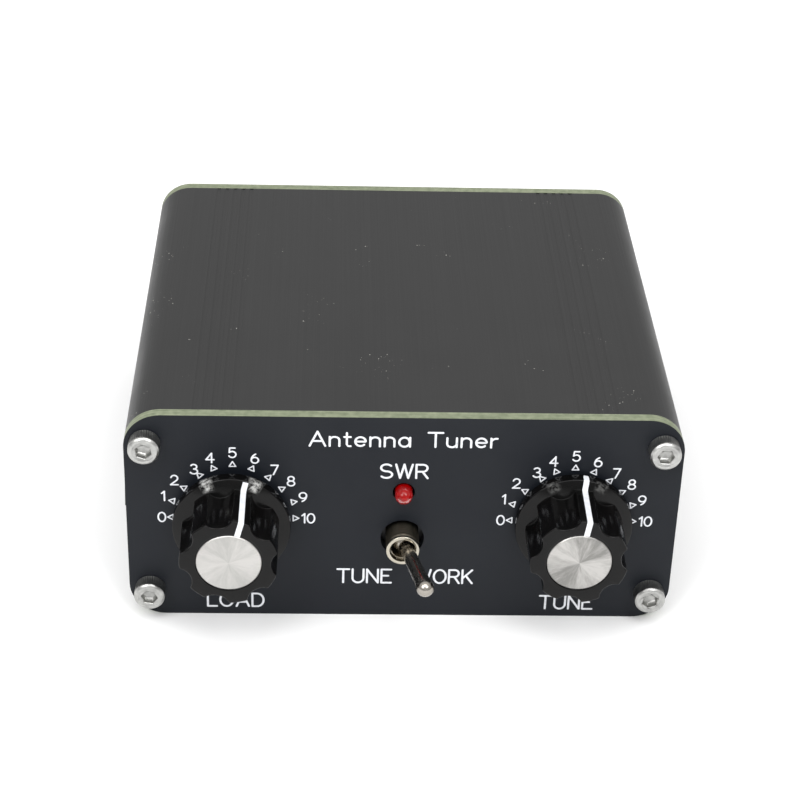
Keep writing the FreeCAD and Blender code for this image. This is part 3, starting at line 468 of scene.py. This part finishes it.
def make_materials():
    finishes = {
        "anodised_case": anodised_case(),
        "panel_board": panel_board(),
        "stainless_screw": screw_steel(),
        # Both knobs are the same black moulding; the copy named worn only carries a stronger painted highlight on
        # its ledge.
        "knob_black": knob_black("knob_black", 0.12),
        "knob_black_worn": knob_black("knob_black_worn", 0.6),
        # Both discs are turned aluminium; each copy's two greys and its fans are painted sheen.
        "spun_aluminium": spun_aluminium("spun_aluminium", srgb(171, 170, 167), srgb(191, 189, 186), 1.0),
        "spun_grey": spun_aluminium("spun_grey", srgb(134, 133, 130), srgb(184, 182, 179), 2.6),
        "brass": plated("brass", srgb(206, 176, 112), 0.22),
        "steel": plated("steel", srgb(176, 175, 172), 0.25),
        "clear_plastic": plain_surface("clear_plastic", srgb(214, 218, 222), 0.15,
                                       transmission=0.6, ior=1.49),
        "chrome": plated("chrome", srgb(160, 155, 147), 0.2),
        "nickel": plated("nickel", srgb(186, 180, 166), 0.2),
        # The thread is the same nickel as the collar, darkened as painted shade from the panel's hole.
        "painted_shade_nickel": plated("painted_shade_nickel", srgb(74, 70, 62), 0.45),
        "black_plastic": plain_surface("black_plastic", srgb(26, 26, 27), 0.38, grain=700, bump=0.02),
        "red_plastic": plain_surface("red_plastic", srgb(176, 22, 20), 0.28,
                                     grain=700, bump=0.015, coat=0.2),
        "blue_plastic": plain_surface("blue_plastic", srgb(30, 66, 150), 0.42),
        "lamp_red": lamp_red(),
        "tinned_wire": plated("tinned_wire", srgb(196, 197, 200), 0.3),
        "main_board": main_board(),
        "iron_powder": plain_surface("iron_powder", srgb(150, 40, 30), 0.6, grain=500, bump=0.04),
        "enamelled_copper": plated("enamelled_copper", srgb(188, 96, 44), 0.2),
        "component_body": component_body(),
        "white_insulator": plain_surface("white_insulator", srgb(232, 231, 226), 0.4),
        "wire_insulation": plain_surface("wire_insulation", srgb(170, 26, 22), 0.45),
    }
    for part in frame["record"]["subparts"]:
        node = frame["nodes"][part["node"]]
        node.data.materials.clear()
        node.data.materials.append(finishes[part["material_slot"]])
    return finishes


# ---- knobs ------------------------------------------------------------------------------------------
def flute_outline(crest):
    """Radius of the fluted grip at an angle from its pointer, which stands on a crest."""
    centre = FLUTE_FLOOR + FLUTE_RADIUS

    def radius(angle):
        step = 2 * math.pi / FLUTES
        off = (angle / step - 0.5 - round(angle / step - 0.5)) * step
        inside = FLUTE_RADIUS ** 2 - (centre * math.sin(off)) ** 2
        if inside <= 0:
            return crest
        floor = centre * math.cos(off) - math.sqrt(inside)
        gap = max(FLUTE_BLEND - abs(crest - floor), 0.0) / FLUTE_BLEND
        return min(crest, floor) - gap * gap * FLUTE_BLEND / 4

    return radius


def knob_heights(name):
    """Heights over the panel of a knob's back, its ledge's rim, a crest's foot on the ledge, and the face."""
    back = KNOB_BACK[name]
    ledge = back + SKIRT_HEIGHT
    return back, ledge, ledge + LEDGE_SLOPE * (SKIRT_RADIUS - CREST_BASE), back + KNOB_HEIGHT


def knob(name, finishes):
    """Fluted moulding with its skirt, open at the back for the bush, and its pointer and disc."""
    back, ledge, grip, face = knob_heights(name)
    tilt = math.radians(POINTER_ANGLE[name])
    count = FLUTES * 60
    low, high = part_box(name + "_knob_cap")
    axis = Vector(((low.x + high.x) / 2, FRONT_Y, (low.z + high.z) / 2))
    body = name + "_control"

    clear = 0.4 * MM
    wall = rounded_profile([(BUSH_HOLE, back), (SKIRT_RADIUS, back), (SKIRT_RADIUS, ledge),
                            (CREST_BASE + clear, grip - clear * LEDGE_SLOPE)], (0.25 * MM, 0.2 * MM))
    rings = [ring(BUSH_HOLE, back + BUSH_DEPTH, count, tilt)]
    rings += [ring(p.x, p.y, count, tilt) for p in wall]
    outline = flute_outline(CREST_BASE)

    def rise(angle):
        """Height of the sloping ledge where the grip stands on it."""
        return ledge + LEDGE_SLOPE * (SKIRT_RADIUS - outline(angle))

    for t in (0.0, 0.35, 0.7, 1.0):
        swell = FOOT * (1 - t) ** 2
        level = ring(lambda a, swell=swell: outline(a) + swell, 0.0, count, tilt)
        for k, point in enumerate(level):
            point.y = -(rise(2 * math.pi * k / count) + FOOT * t * t)
        rings.append(level)
    start = grip + 0.6 * MM
    for k in range(1, GRIP_ROWS + 1):
        t = k / GRIP_ROWS
        outline = flute_outline(CREST_BASE + (CREST_FACE - CREST_BASE) * t)
        rings.append(ring(outline, start + (face - start - EDGE) * t, count, tilt))
    for t in (0.25, 0.5, 0.75, 1.0):
        turn = t * math.pi / 2
        drop, inset = EDGE * (1 - math.sin(turn)), EDGE * (1 - math.cos(turn))
        rings.append(ring(lambda a, inset=inset: outline(a) - inset, face - drop, count, tilt))
    rings += [ring(CAP_RADIUS + beyond, face - below, count, tilt) for beyond, below in CAP_SEAT]
    points, faces = loft(rings)
    # The load knob takes the copy with the stronger painted highlight on its ledge.
    finish = finishes["knob_black_worn" if name == "load" else "knob_black"]
    shell = make_object(name + "_knob_moulding", points, faces, finish, body, at=axis)
    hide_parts(name + "_knob")
    pointer_line(name, axis, tilt, finishes, body)
    disc(name, axis, face, finishes, body)


def pointer_line(name, axis, tilt, finishes, body):
    """White filled line over the ledge, up the crest and across the face to the disc.

    On the tune knob it also runs over the skirt's side.
    """
    back, ledge, grip, face = knob_heights(name)
    if name == "tune":
        start, roundings = [(SKIRT_RADIUS, back + 0.4 * MM), (SKIRT_RADIUS, ledge)], (0.2 * MM,)
    else:
        inset = 0.22 * MM
        start, roundings = [(SKIRT_RADIUS - inset, ledge + inset * LEDGE_SLOPE)], ()
    path = rounded_profile([*start, (CREST_BASE, grip), (CREST_FACE, face), (CAP_RADIUS + 0.08 * MM, face)],
                           (*roundings, 0.45 * MM, EDGE))
    points, faces = [], []
    across = 8
    for k, here in enumerate(path):
        ahead, behind = path[min(k + 1, len(path) - 1)], path[max(k - 1, 0)]
        along = (ahead - behind).normalized()
        lift = Vector((along.y, -along.x)) * (INK if 0 < k < len(path) - 1 else 0.2 * INK)
        outward = here - lift if lift.x < 0 and abs(along.y) > abs(along.x) else here + lift
        for j in range(across + 1):
            s = (j / across - 0.5) * POINTER_WIDTH
            dip = 0.5 * INK * (2 * j / across - 1) ** 6
            z = math.sqrt(outward.x ** 2 - s * s) - dip
            points.append(Matrix.Rotation(tilt, 3, "Y") @ Vector((s, -outward.y - 0.02 * INK, z)))
    for k in range(len(path) - 1):
        for j in range(across):
            a = k * (across + 1) + j
            faces.append((a, a + 1, a + across + 2, a + across + 1))
    make_object(name + "_knob_pointer", points, faces, finishes["ink"], body, at=axis)


def disc(name, axis, face, finishes, body):
    """Turned disc let into the knob's face, with a bevelled rim and its middle a little hollow."""
    under, top = face - CAP_SUNK + CAP_GAP, face + CAP_TOP
    bevel_height, bevel_width, hollow = 0.16 * MM, 0.2 * MM, 0.015 * MM
    profile = rounded_profile([(0, under), (CAP_RADIUS, under), (CAP_RADIUS, top - bevel_height),
                               (CAP_RADIUS - bevel_width, top), (0, top - hollow)],
                              (0.05 * MM, 0.04 * MM, 0.05 * MM))
    points, faces = lathe(profile, 128)
    finish = finishes["spun_aluminium" if name == "load" else "spun_grey"]
    piece = make_object(name + "_knob_disc", points, faces, finish, body, at=axis)
    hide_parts(name + "_knob_cap")


# ---- screws -----------------------------------------------------------------------------------------
def screw_mesh(turn):
    """Knurled socket head with its shank; turn sets how the hexagon lies."""
    count = KNURLS * 6

    def knurled(depth):
        return lambda angle: HEAD_RADIUS - depth * (0.5 - 0.5 * math.cos(KNURLS * angle)) ** 0.7

    def hexagon(flats):
        def radius(angle):
            sector = math.pi / 3
            off = (angle / sector - round(angle / sector)) * sector
            return flats / 2 / math.cos(off)
        return radius

    shank = [(SHANK_RADIUS * 0.8, -SHANK_LENGTH), (SHANK_RADIUS, -SHANK_LENGTH + 0.4 * MM),
             (SHANK_RADIUS, 0.0)]
    seat = [(HEAD_RADIUS - 0.15 * MM, 0.0), (HEAD_RADIUS - UNDERCUT, 0.1 * MM),
            (HEAD_RADIUS - UNDERCUT, 0.22 * MM)]
    rings = [ring(radius, h, count) for radius, h in shank + seat]
    rings += [ring(knurled(depth * MM), h * MM, count) for h, depth in KNURL_ROWS]
    band, bevel, lip = HEAD_RADIUS - 0.02 * MM, HEAD_RADIUS - 0.42 * MM, 1.95 * MM
    rim = rounded_profile([(band, 2.36 * MM), (band, 2.66 * MM), (bevel, HEAD_HEIGHT), (lip, HEAD_HEIGHT),
                           (lip - 0.05 * MM, 2.96 * MM)], (0.12 * MM, 0.12 * MM, 0.02 * MM))
    rings += [ring(p.x, p.y, count) for p in rim]
    rings += [ring(hexagon(HEX_FLATS + wider * MM), h * MM, count, turn) for wider, h in SOCKET_ROWS]
    rings += [ring(radius * MM, h * MM, count) for radius, h in DRILL_ROWS]
    return loft(rings)


def panel_screws(finishes):
    low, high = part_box("front_panel_screws")
    xs = (low.x + HEAD_RADIUS, high.x - HEAD_RADIUS)
    zs = (low.z + HEAD_RADIUS, high.z - HEAD_RADIUS)
    for node, y, about in (("front_panel_screws", FRONT_Y, 0.0), ("rear_panel_screws", REAR_Y, math.pi)):
        parts = []
        for k, (x, z) in enumerate((x, z) for x in xs for z in zs):
            where = Matrix.Translation((x, y, z)) @ Matrix.Rotation(about, 4, "Z")
            parts.append(moved(screw_mesh(math.radians(HEX_TURNS[k])), where))
        points, faces = joined(parts)
        piece = make_object(node + "_knurled", points, faces, finishes["stainless_screw"], "enclosure")
        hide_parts(node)


# ---- switch and lamp ----------------------------------------------------------------------------------
def lever(finishes):
    """Bat lever: ball in the bushing, slim stick, and a swelling rounded end."""
    profile = [Vector((TAIL_RADIUS * math.sin(a), TAIL_END + TAIL_DOME * (1 - math.cos(a)))) for a in
               (math.pi / 2 * k / 4 for k in range(5))]
    join = math.asin(TAIL_RADIUS / BALL)
    for k in range(17):
        a = math.pi - join - (math.pi - 2 * join) * k / 16
        profile.append(Vector((BALL * math.sin(a), BALL * math.cos(a))))
    profile.append(Vector((NECK, NECK_START)))
    rows = 9
    for k in range(rows + 1):
        t = k / rows
        ease = 0.5 * t + 0.5 * t ** 5
        profile.append(Vector((NECK + (TIP - NECK) * ease, SWELL_START + (REACH - TIP - SWELL_START) * t)))
    for k in range(1, 13):
        a = math.pi / 2 * (1 - k / 12)
        profile.append(Vector((TIP * math.sin(a), REACH - TIP + TIP * math.cos(a))))
    points, faces = lathe(profile, 72)
    tilt = Matrix.Rotation(math.radians(LEVER_TILT), 4, "Z")
    points, faces = moved((points, faces), tilt)
    piece = make_object("toggle_bat_lever", points, faces, finishes["chrome"], "switch_lever",
                        at=PIVOT)
    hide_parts("toggle_lever")


def bushing(finishes):
    """Threaded bushing, its thread darkened with painted shade, its plated collar and bore, and the cover plate
    behind the panel.
    """
    centre = Vector((0, FRONT_Y, PIVOT.z))
    front = BUSHING_FRONT
    thread = [(BORE, BUSHING_BACK), (2.6 * MM, BUSHING_BACK)]
    for k in range(THREAD_TURNS):
        root = THREAD_START + k * THREAD_PITCH
        thread += [(THREAD_ROOT, root), (THREAD_CREST, root + 0.4 * THREAD_PITCH),
                   (THREAD_CREST, root + 0.55 * THREAD_PITCH)]
    thread += [(2.5 * MM, front - 0.75 * MM), (2.4 * MM, front - 0.75 * MM)]
    points, faces = loft([ring(radius, h, 96) for radius, h in thread], False, False)
    points, faces = moved((points, faces), Matrix.Translation(centre))
    # Painted shade: the thread in the panel's hole gets a darkened copy of the nickel.
    make_object("toggle_bushing_thread", points, faces, finishes["painted_shade_nickel"], "enclosure")
    collar = rounded_profile([(2.5 * MM, front - 0.7 * MM), (COLLAR, front - 0.62 * MM), (COLLAR, front),
                              (MOUTH, front), (2.2 * MM, front - 0.9 * MM), (BORE, front - 1.0 * MM),
                              (BORE, BUSHING_BACK)],
                             (0.05 * MM, 0.2 * MM, 0.12 * MM, 0.05 * MM, 0.05 * MM))
    points, faces = loft([ring(p.x, p.y, 96) for p in collar], False, False)
    points, faces = moved((points, faces), Matrix.Translation(centre))
    piece = make_object("toggle_bushing_plated", points, faces, finishes["nickel"], "enclosure")
    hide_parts("toggle_bushing")
    low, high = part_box("toggle_bushing")
    points, faces = plate_with_hole(low, high, centre, COVER_HOLE, COVER_THICKNESS)
    make_object("toggle_cover_plate", points, faces, finishes["black_plastic"], "enclosure",
                smooth=False)


def plate_with_hole(low, high, centre, hole, thick):
    """Rectangle with a round hole, whose back lies at the rear of the box from low to high."""
    count = 64
    half_x, half_z = (high.x - low.x) / 2, (high.z - low.z) / 2

    def square(angle):
        return min(half_x / max(abs(math.sin(angle)), 1e-6), half_z / max(abs(math.cos(angle)), 1e-6))

    h = FRONT_Y - high.y
    corners = ((hole, h), (square, h), (square, h + thick), (hole, h + thick), (hole, h))
    rings = [ring(radius, level, count) for radius, level in corners]
    return moved(loft(rings, False, False), Matrix.Translation(centre))


def lamp(finishes):
    """Domed lens on its flange, with a reflector cup inside it."""
    low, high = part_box("swr_lamp")
    centre = Vector((0, FRONT_Y, (low.z + high.z) / 2))
    base = FRONT_Y - high.y
    flange = ((0, 0), (FLANGE_RADIUS - 0.05 * MM, 0), (FLANGE_RADIUS, 0.1 * MM), (FLANGE_RADIUS, 0.9 * MM),
              (LENS_RADIUS + 0.02 * MM, 1.0 * MM), (LENS_RADIUS, 1.2 * MM))
    profile = [Vector((radius, base + h)) for radius, h in flange]
    for k in range(13):
        a = math.pi / 2 * (1 - k / 12)
        profile.append(Vector((LENS_RADIUS * math.sin(a), LENS_DOME + LENS_RADIUS * math.cos(a))))
    points, faces = lathe(profile, 64)
    piece = make_object("swr_lamp_lens", points, faces, finishes["lamp_red"], "enclosure",
                        at=centre)
    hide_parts("swr_lamp")
    points, faces = lathe([Vector(p) * MM for p in CUP], 40)
    make_object("swr_lamp_cup", points, faces, finishes["tinned_wire"], "enclosure", at=centre)


# ---- printing on the front panel -----------------------------------------------------------------------
def arc(cx, cy, rx, ry, start, end):
    """Points along an ellipse's arc, in degrees, anticlockwise from the right when end is larger."""
    steps = max(4, int(abs(end - start) / 12))
    angles = [math.radians(start + (end - start) * k / steps) for k in range(steps + 1)]
    return [(cx + rx * math.cos(a), cy + ry * math.sin(a)) for a in angles]


# Each glyph: its width and its strokes, on a cell one unit high.
GLYPHS = {
    " ": (0.45, []),
    "A": (0.78, [[(0, 0), (0.39, 1)], [(0.39, 1), (0.78, 0)], [(0.14, 0.34), (0.64, 0.34)]]),
    "D": (0.70, [[(0, 0), (0, 1)], [(0, 1), *arc(0.30, 0.5, 0.40, 0.5, 90, -90), (0, 0)]]),
    "E": (0.60, [[(0, 0), (0, 1)], [(0, 1), (0.6, 1)], [(0, 0.53), (0.42, 0.53)], [(0, 0), (0.6, 0)]]),
    "K": (0.66, [[(0, 0), (0, 1)], [(0.64, 1), (0, 0.36)], [(0.22, 0.58), (0.66, 0)]]),
    "L": (0.56, [[(0, 1), (0, 0)], [(0, 0), (0.56, 0)]]),
    "N": (0.68, [[(0, 0), (0, 1)], [(0, 1), (0.68, 0)], [(0.68, 0), (0.68, 1)]]),
    "O": (0.80, [arc(0.40, 0.5, 0.40, 0.5, 0, 360)]),
    "R": (0.68, [[(0, 0), (0, 1)], [(0, 1), *arc(0.38, 0.74, 0.27, 0.26, 90, -90), (0, 0.48)],
                 [(0.36, 0.48), (0.68, 0)]]),
    "S": (0.68, [arc(0.34, 0.745, 0.32, 0.255, 35, 270) + arc(0.34, 0.245, 0.34, 0.245, 90, -145)]),
    "T": (0.72, [[(0, 1), (0.72, 1)], [(0.36, 1), (0.36, 0)]]),
    "U": (0.68, [[(0, 1), *arc(0.34, 0.34, 0.34, 0.34, 180, 360), (0.68, 1)]]),
    "W": (0.98, [[(0, 1), (0.25, 0)], [(0.25, 0), (0.49, 1)], [(0.49, 1), (0.73, 0)],
                 [(0.73, 0), (0.98, 1)]]),
    "a": (0.56, [arc(0.26, 0.32, 0.26, 0.32, 0, 360), [(0.54, 0.64), (0.54, 0)]]),
    "e": (0.54, [[(0.02, 0.33), (0.53, 0.33), *arc(0.27, 0.33, 0.26, 0.31, 0, 315)]]),
    "n": (0.50, [[(0, 0.64), (0, 0)], [(0, 0.38), *arc(0.24, 0.40, 0.24, 0.24, 180, 0), (0.48, 0)]]),
    "r": (0.32, [[(0, 0.64), (0, 0)], [(0, 0.36), *arc(0.26, 0.36, 0.26, 0.27, 180, 80)]]),
    "t": (0.32, [[(0.13, 0.92), (0.13, 0.12), (0.20, 0.0), (0.32, 0.0)], [(0, 0.64), (0.32, 0.64)]]),
    "u": (0.50, [[(0, 0.64), *arc(0.24, 0.24, 0.24, 0.24, 180, 360), (0.48, 0.64)],
                 [(0.48, 0.3), (0.48, 0)]]),
    "0": (0.66, [arc(0.33, 0.5, 0.33, 0.5, 0, 360)]),
    "1": (0.32, [[(0.06, 0.78), (0.30, 1)], [(0.30, 1), (0.30, 0)]]),
    "2": (0.66, [arc(0.33, 0.69, 0.30, 0.31, 165, -35), [(0.575, 0.51), (0, 0)], [(0, 0), (0.66, 0)]]),
    "3": (0.64, [arc(0.31, 0.76, 0.27, 0.24, 150, -90), arc(0.31, 0.26, 0.33, 0.26, 90, -155)]),
    "4": (0.70, [[(0.5, 0), (0.5, 1)], [(0.5, 1), (0, 0.32)], [(0, 0.32), (0.70, 0.32)]]),
    "5": (0.64, [[(0.56, 1), (0.10, 1)], [(0.10, 1), (0.05, 0.54)],
                 arc(0.31, 0.32, 0.33, 0.32, 138, -150)]),
    "6": (0.64, [arc(0.32, 0.31, 0.32, 0.31, 0, 360), arc(0.62, 0.31, 0.62, 0.69, 180, 112)]),
    "7": (0.62, [[(0, 1), (0.62, 1)], [(0.62, 1), (0.20, 0)]]),
    "8": (0.64, [arc(0.32, 0.76, 0.27, 0.24, 0, 360), arc(0.32, 0.26, 0.32, 0.26, 0, 360)]),
    "9": (0.64, [arc(0.32, 0.69, 0.32, 0.31, 0, 360), arc(0.02, 0.69, 0.62, 0.69, 0, -68)]),
}
GLYPH_GAP = 0.22


def stroke_mesh(points, width):
    """Rounded ribbon with round ends: its middle stands INK off the panel, its edges about a third."""
    half = width / 2
    line = [Vector(p) for p in points]
    closed = (line[0] - line[-1]).length < half * 0.1
    stations = []
    for k, here in enumerate(line):
        before = line[k - 1] if k else (line[-2] if closed else here)
        after = line[k + 1] if k < len(line) - 1 else (line[1] if closed else here)
        stations.append((here, (after - before).normalized(), half))
    if not closed:
        caps = [math.pi / 2 * k / 4 for k in range(1, 4)] + [1.5]
        start, end = stations[0], stations[-1]
        first = [(start[0] - start[1] * half * math.sin(a), start[1], half * math.cos(a))
                 for a in reversed(caps)]
        last = [(end[0] + end[1] * half * math.sin(a), end[1], half * math.cos(a)) for a in caps]
        stations = first + stations + last
    out, faces = [], []
    levels = (-1.0, -0.5, 0.0, 0.5, 1.0)
    for here, along, reach in stations:
        side = Vector((-along.y, along.x))
        for level in levels:
            place = here + side * reach * level
            height = INK * (0.35 + 0.65 * (1 - level * level)) * reach / half
            out.append(Vector((place.x, -height, place.y)))
    wide = len(levels)
    for k in range(len(stations) - 1):
        for j in range(wide - 1):
            a = k * wide + j
            faces.append((a, a + 1, a + wide + 1, a + wide))
    return out, faces


def text_strokes(text, height, centre, width=None):
    """Strokes of a line of text centred on a place, set to a given width if one is stated."""
    natural = sum(GLYPHS[c][0] for c in text) + GLYPH_GAP * (len(text) - 1)
    stretch = width / (natural * height) if width else 1.0
    x = centre[0] - natural * height * stretch / 2
    strokes = []
    for character in text:
        cell, lines = GLYPHS[character]
        for line in lines:
            strokes.append([(x + px * height * stretch, centre[1] + (pz - 0.5) * height) for px, pz in line])
        x += (cell + GLYPH_GAP) * height * stretch
    return strokes


# Places of the figures and marks of the two scales. Some are a little off an even spacing, as printed.
FIGURE_X = (0.0, 3.87, 6.98, 10.12, 12.2, 12.5)     # mm from the axis, by steps away from the 5 at the top
FIGURE_Z = (13.56, 12.44, 10.1, 7.8, 4.45, 0.0)
FIGURE_SHIFT = {3: 0.3, 7: 0.3, 10: 0.6}            # mm to the right, by value
FIGURE_HEIGHT = 1.93 * MM
MARK_SIDE, MARK_LEAN, MARK_RADIUS = 1.15 * MM, 8.0, 10.9 * MM
MARK_OUTWARD = {**dict.fromkeys((1, 5, 9), 0.25 * MM), **dict.fromkeys((2, 3, 7, 8), -0.3 * MM)}
THIRD_MARK_SLIP = math.radians(3)
SCALE_SHIFT = {"load": 0.2 * MM, "tune": -0.25 * MM}  # the scales stand a little off the shafts

TITLE_LINE, MARK_LINE, FIGURE_LINE = 0.38 * MM, 0.24 * MM, 0.29 * MM
# Text, height, middle and width, in mm on the panel.
TITLES = (("Antenna Tuner", 2.9, (-0.3, 37.62), 32.4), ("SWR", 2.8, (-0.03, 31.1), 8.2),
          ("TUNE", 2.9, (-6.56, 8.6), 9.6), ("WORK", 2.9, (7.75, 8.6), 10.1),
          ("LOAD", 2.85, (-29.6, 3.07), 10.0), ("TUNE", 2.85, (30.03, 3.07), 9.5))


def dial_scale(axis):
    """Triangles and figures 0 to 10 over the upper half of a knob."""
    marks, figures = [], []
    for value in range(11):
        steps, side_sign = abs(value - 5), (1 if value > 5 else -1)
        angle = math.radians(180 - 18 * value)
        slipped = angle - THIRD_MARK_SLIP if value == 3 else angle
        out = Vector((math.cos(slipped), math.sin(slipped)))
        lean = 0.0 if value % 5 == 0 else math.radians(MARK_LEAN) * (1 if value < 5 else -1)
        point = Vector((math.cos(angle + lean), math.sin(angle + lean)))
        side = Vector((-point.y, point.x))
        centre = axis + out * (MARK_RADIUS + MARK_OUTWARD.get(value, 0.0))
        tall = MARK_SIDE * math.sqrt(3) / 2
        tip = centre + point * tall * 0.6
        feet = [centre - point * tall * 0.4 + side * sign * MARK_SIDE / 2 for sign in (-1, 1)]
        marks += [[tip, feet[0]], [feet[0], feet[1]], [feet[1], tip]]
        across = side_sign * FIGURE_X[steps] + FIGURE_SHIFT.get(value, 0.0)
        figures += text_strokes(str(value), FIGURE_HEIGHT, axis + Vector((across, FIGURE_Z[steps])) * MM)
    return marks, figures


def panel_print(finishes):
    """White printing, a thin layer just off the front panel."""
    lines = []
    for text, height, (x, z), width in TITLES:
        strokes = text_strokes(text, height * MM, (x * MM, z * MM), width * MM)
        lines += [(stroke, TITLE_LINE) for stroke in strokes]
    for name in ("load", "tune"):
        low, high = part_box(name + "_knob_cap")
        marks, figures = dial_scale(Vector(((low.x + high.x) / 2 + SCALE_SHIFT[name], (low.z + high.z) / 2)))
        lines += [(stroke, MARK_LINE) for stroke in marks] + [(stroke, FIGURE_LINE) for stroke in figures]
    points, faces = joined([stroke_mesh(stroke, width) for stroke, width in lines])
    make_object("panel_print", points, faces, finishes["ink"], "enclosure",
                at=(0, FRONT_Y, 0))


# ---- stage --------------------------------------------------------------------------------------------
FLOOR_HALF, FLOOR_Z = 6.0, -0.02 * MM
LIGHT_DISTANCE = 0.8
# Name, degrees to the right of the front and upwards, size and watts.
LIGHTS = (("left_box", -38, 41, (0.35, 0.35), 2.6), ("right_box", 30, 45, (0.3, 0.3), 1.9),
          ("overhead", 0, 66, (0.5, 0.4), 1.6))


def floor():
    """Matt white ground just under the case."""
    s = Shader("studio_floor").set(metallic=0.0, specular=0.2)
    s.colour(s.ramp(s.noise(3.0, 2.0), [(0.3, (0.92, 0.92, 0.92)), (0.7, (0.94, 0.94, 0.94))]))
    s.roughness(s.span(s.noise(20.0, 2.0), 0.7, 0.8))
    mesh = bpy.data.meshes.new("studio_floor")
    corners = [(x * FLOOR_HALF, y * FLOOR_HALF, FLOOR_Z) for x, y in ((-1, -1), (1, -1), (1, 1), (-1, 1))]
    mesh.from_pydata(corners, [], [(0, 1, 2, 3)])
    mesh.materials.append(s.material)
    piece = bpy.data.objects.new("studio_floor", mesh)
    bpy.context.scene.collection.objects.link(piece)


def area_light(name, place, target, size, watts):
    light = bpy.data.lights.new(name, "AREA")
    light.shape = "RECTANGLE"
    light.size, light.size_y = size
    light.energy = watts
    lamp_object = bpy.data.objects.new(name, light)
    bpy.context.scene.collection.objects.link(lamp_object)
    lamp_object.location = place
    lamp_object.rotation_euler = (Vector(target) - Vector(place)).to_track_quat("-Z", "Y").to_euler()


def studio():
    """Pale tent: a dome brighter overhead, and three soft boxes, in front at either side and overhead."""
    world = bpy.data.worlds.new("studio")
    bpy.context.scene.world = world
    world.use_nodes = True
    tree = world.node_tree
    place = tree.nodes.new("ShaderNodeTexCoord").outputs["Generated"]
    height = tree.nodes.new("ShaderNodeSeparateXYZ")
    tree.links.new(place, height.inputs["Vector"])
    fade = tree.nodes.new("ShaderNodeMapRange")
    for key, number in (("From Min", 0.0), ("From Max", 1.0), ("To Min", 0.5), ("To Max", 1.15)):
        fade.inputs[key].default_value = number
    tree.links.new(height.outputs["Z"], fade.inputs["Value"])
    background = tree.nodes["Background"]
    background.inputs["Color"].default_value = (1.0, 1.0, 1.0, 1.0)
    tree.links.new(fade.outputs["Result"], background.inputs["Strength"])
    target = (0, 0, MID_Z)
    for name, azimuth, elevation, size, watts in LIGHTS:
        turn, lift = math.radians(azimuth), math.radians(elevation)
        towards = Vector((math.sin(turn) * math.cos(lift), -math.cos(turn) * math.cos(lift), math.sin(lift)))
        area_light(name, Vector(target) + towards * LIGHT_DISTANCE, target, size, watts)


def camera():
    """Seen from above and a little to the left, looking down at the front."""
    down, right, roll = (math.radians(a) for a in (31.392, 2.362, -1.882))
    forward = Vector((math.sin(right) * math.cos(down), math.cos(right) * math.cos(down), -math.sin(down)))
    level = Vector((math.cos(right), -math.sin(right), 0))
    below = forward.cross(level)
    across = level * math.cos(roll) + below * math.sin(roll)
    downward = below * math.cos(roll) - level * math.sin(roll)
    eye = Vector((-13.731, -349.517, 231.267)) * MM
    data = bpy.data.cameras.new("camera")
    data.sensor_width, data.lens = 36.0, 94.353
    data.clip_start, data.clip_end = 0.02, 20.0
    seen = bpy.data.objects.new("camera", data)
    bpy.context.scene.collection.objects.link(seen)
    axes = Matrix((across, -downward, -forward)).transposed().to_4x4()
    seen.matrix_world = Matrix.Translation(eye) @ axes
    bpy.context.scene.camera = seen


finishes = make_materials()
finishes["ink"] = white_ink()
for control in ("load", "tune"):
    knob(control, finishes)
panel_screws(finishes)
lever(finishes)
bushing(finishes)
lamp(finishes)
panel_print(finishes)
floor()
studio()
camera()
bpy.context.scene.view_settings.view_transform = "Standard"
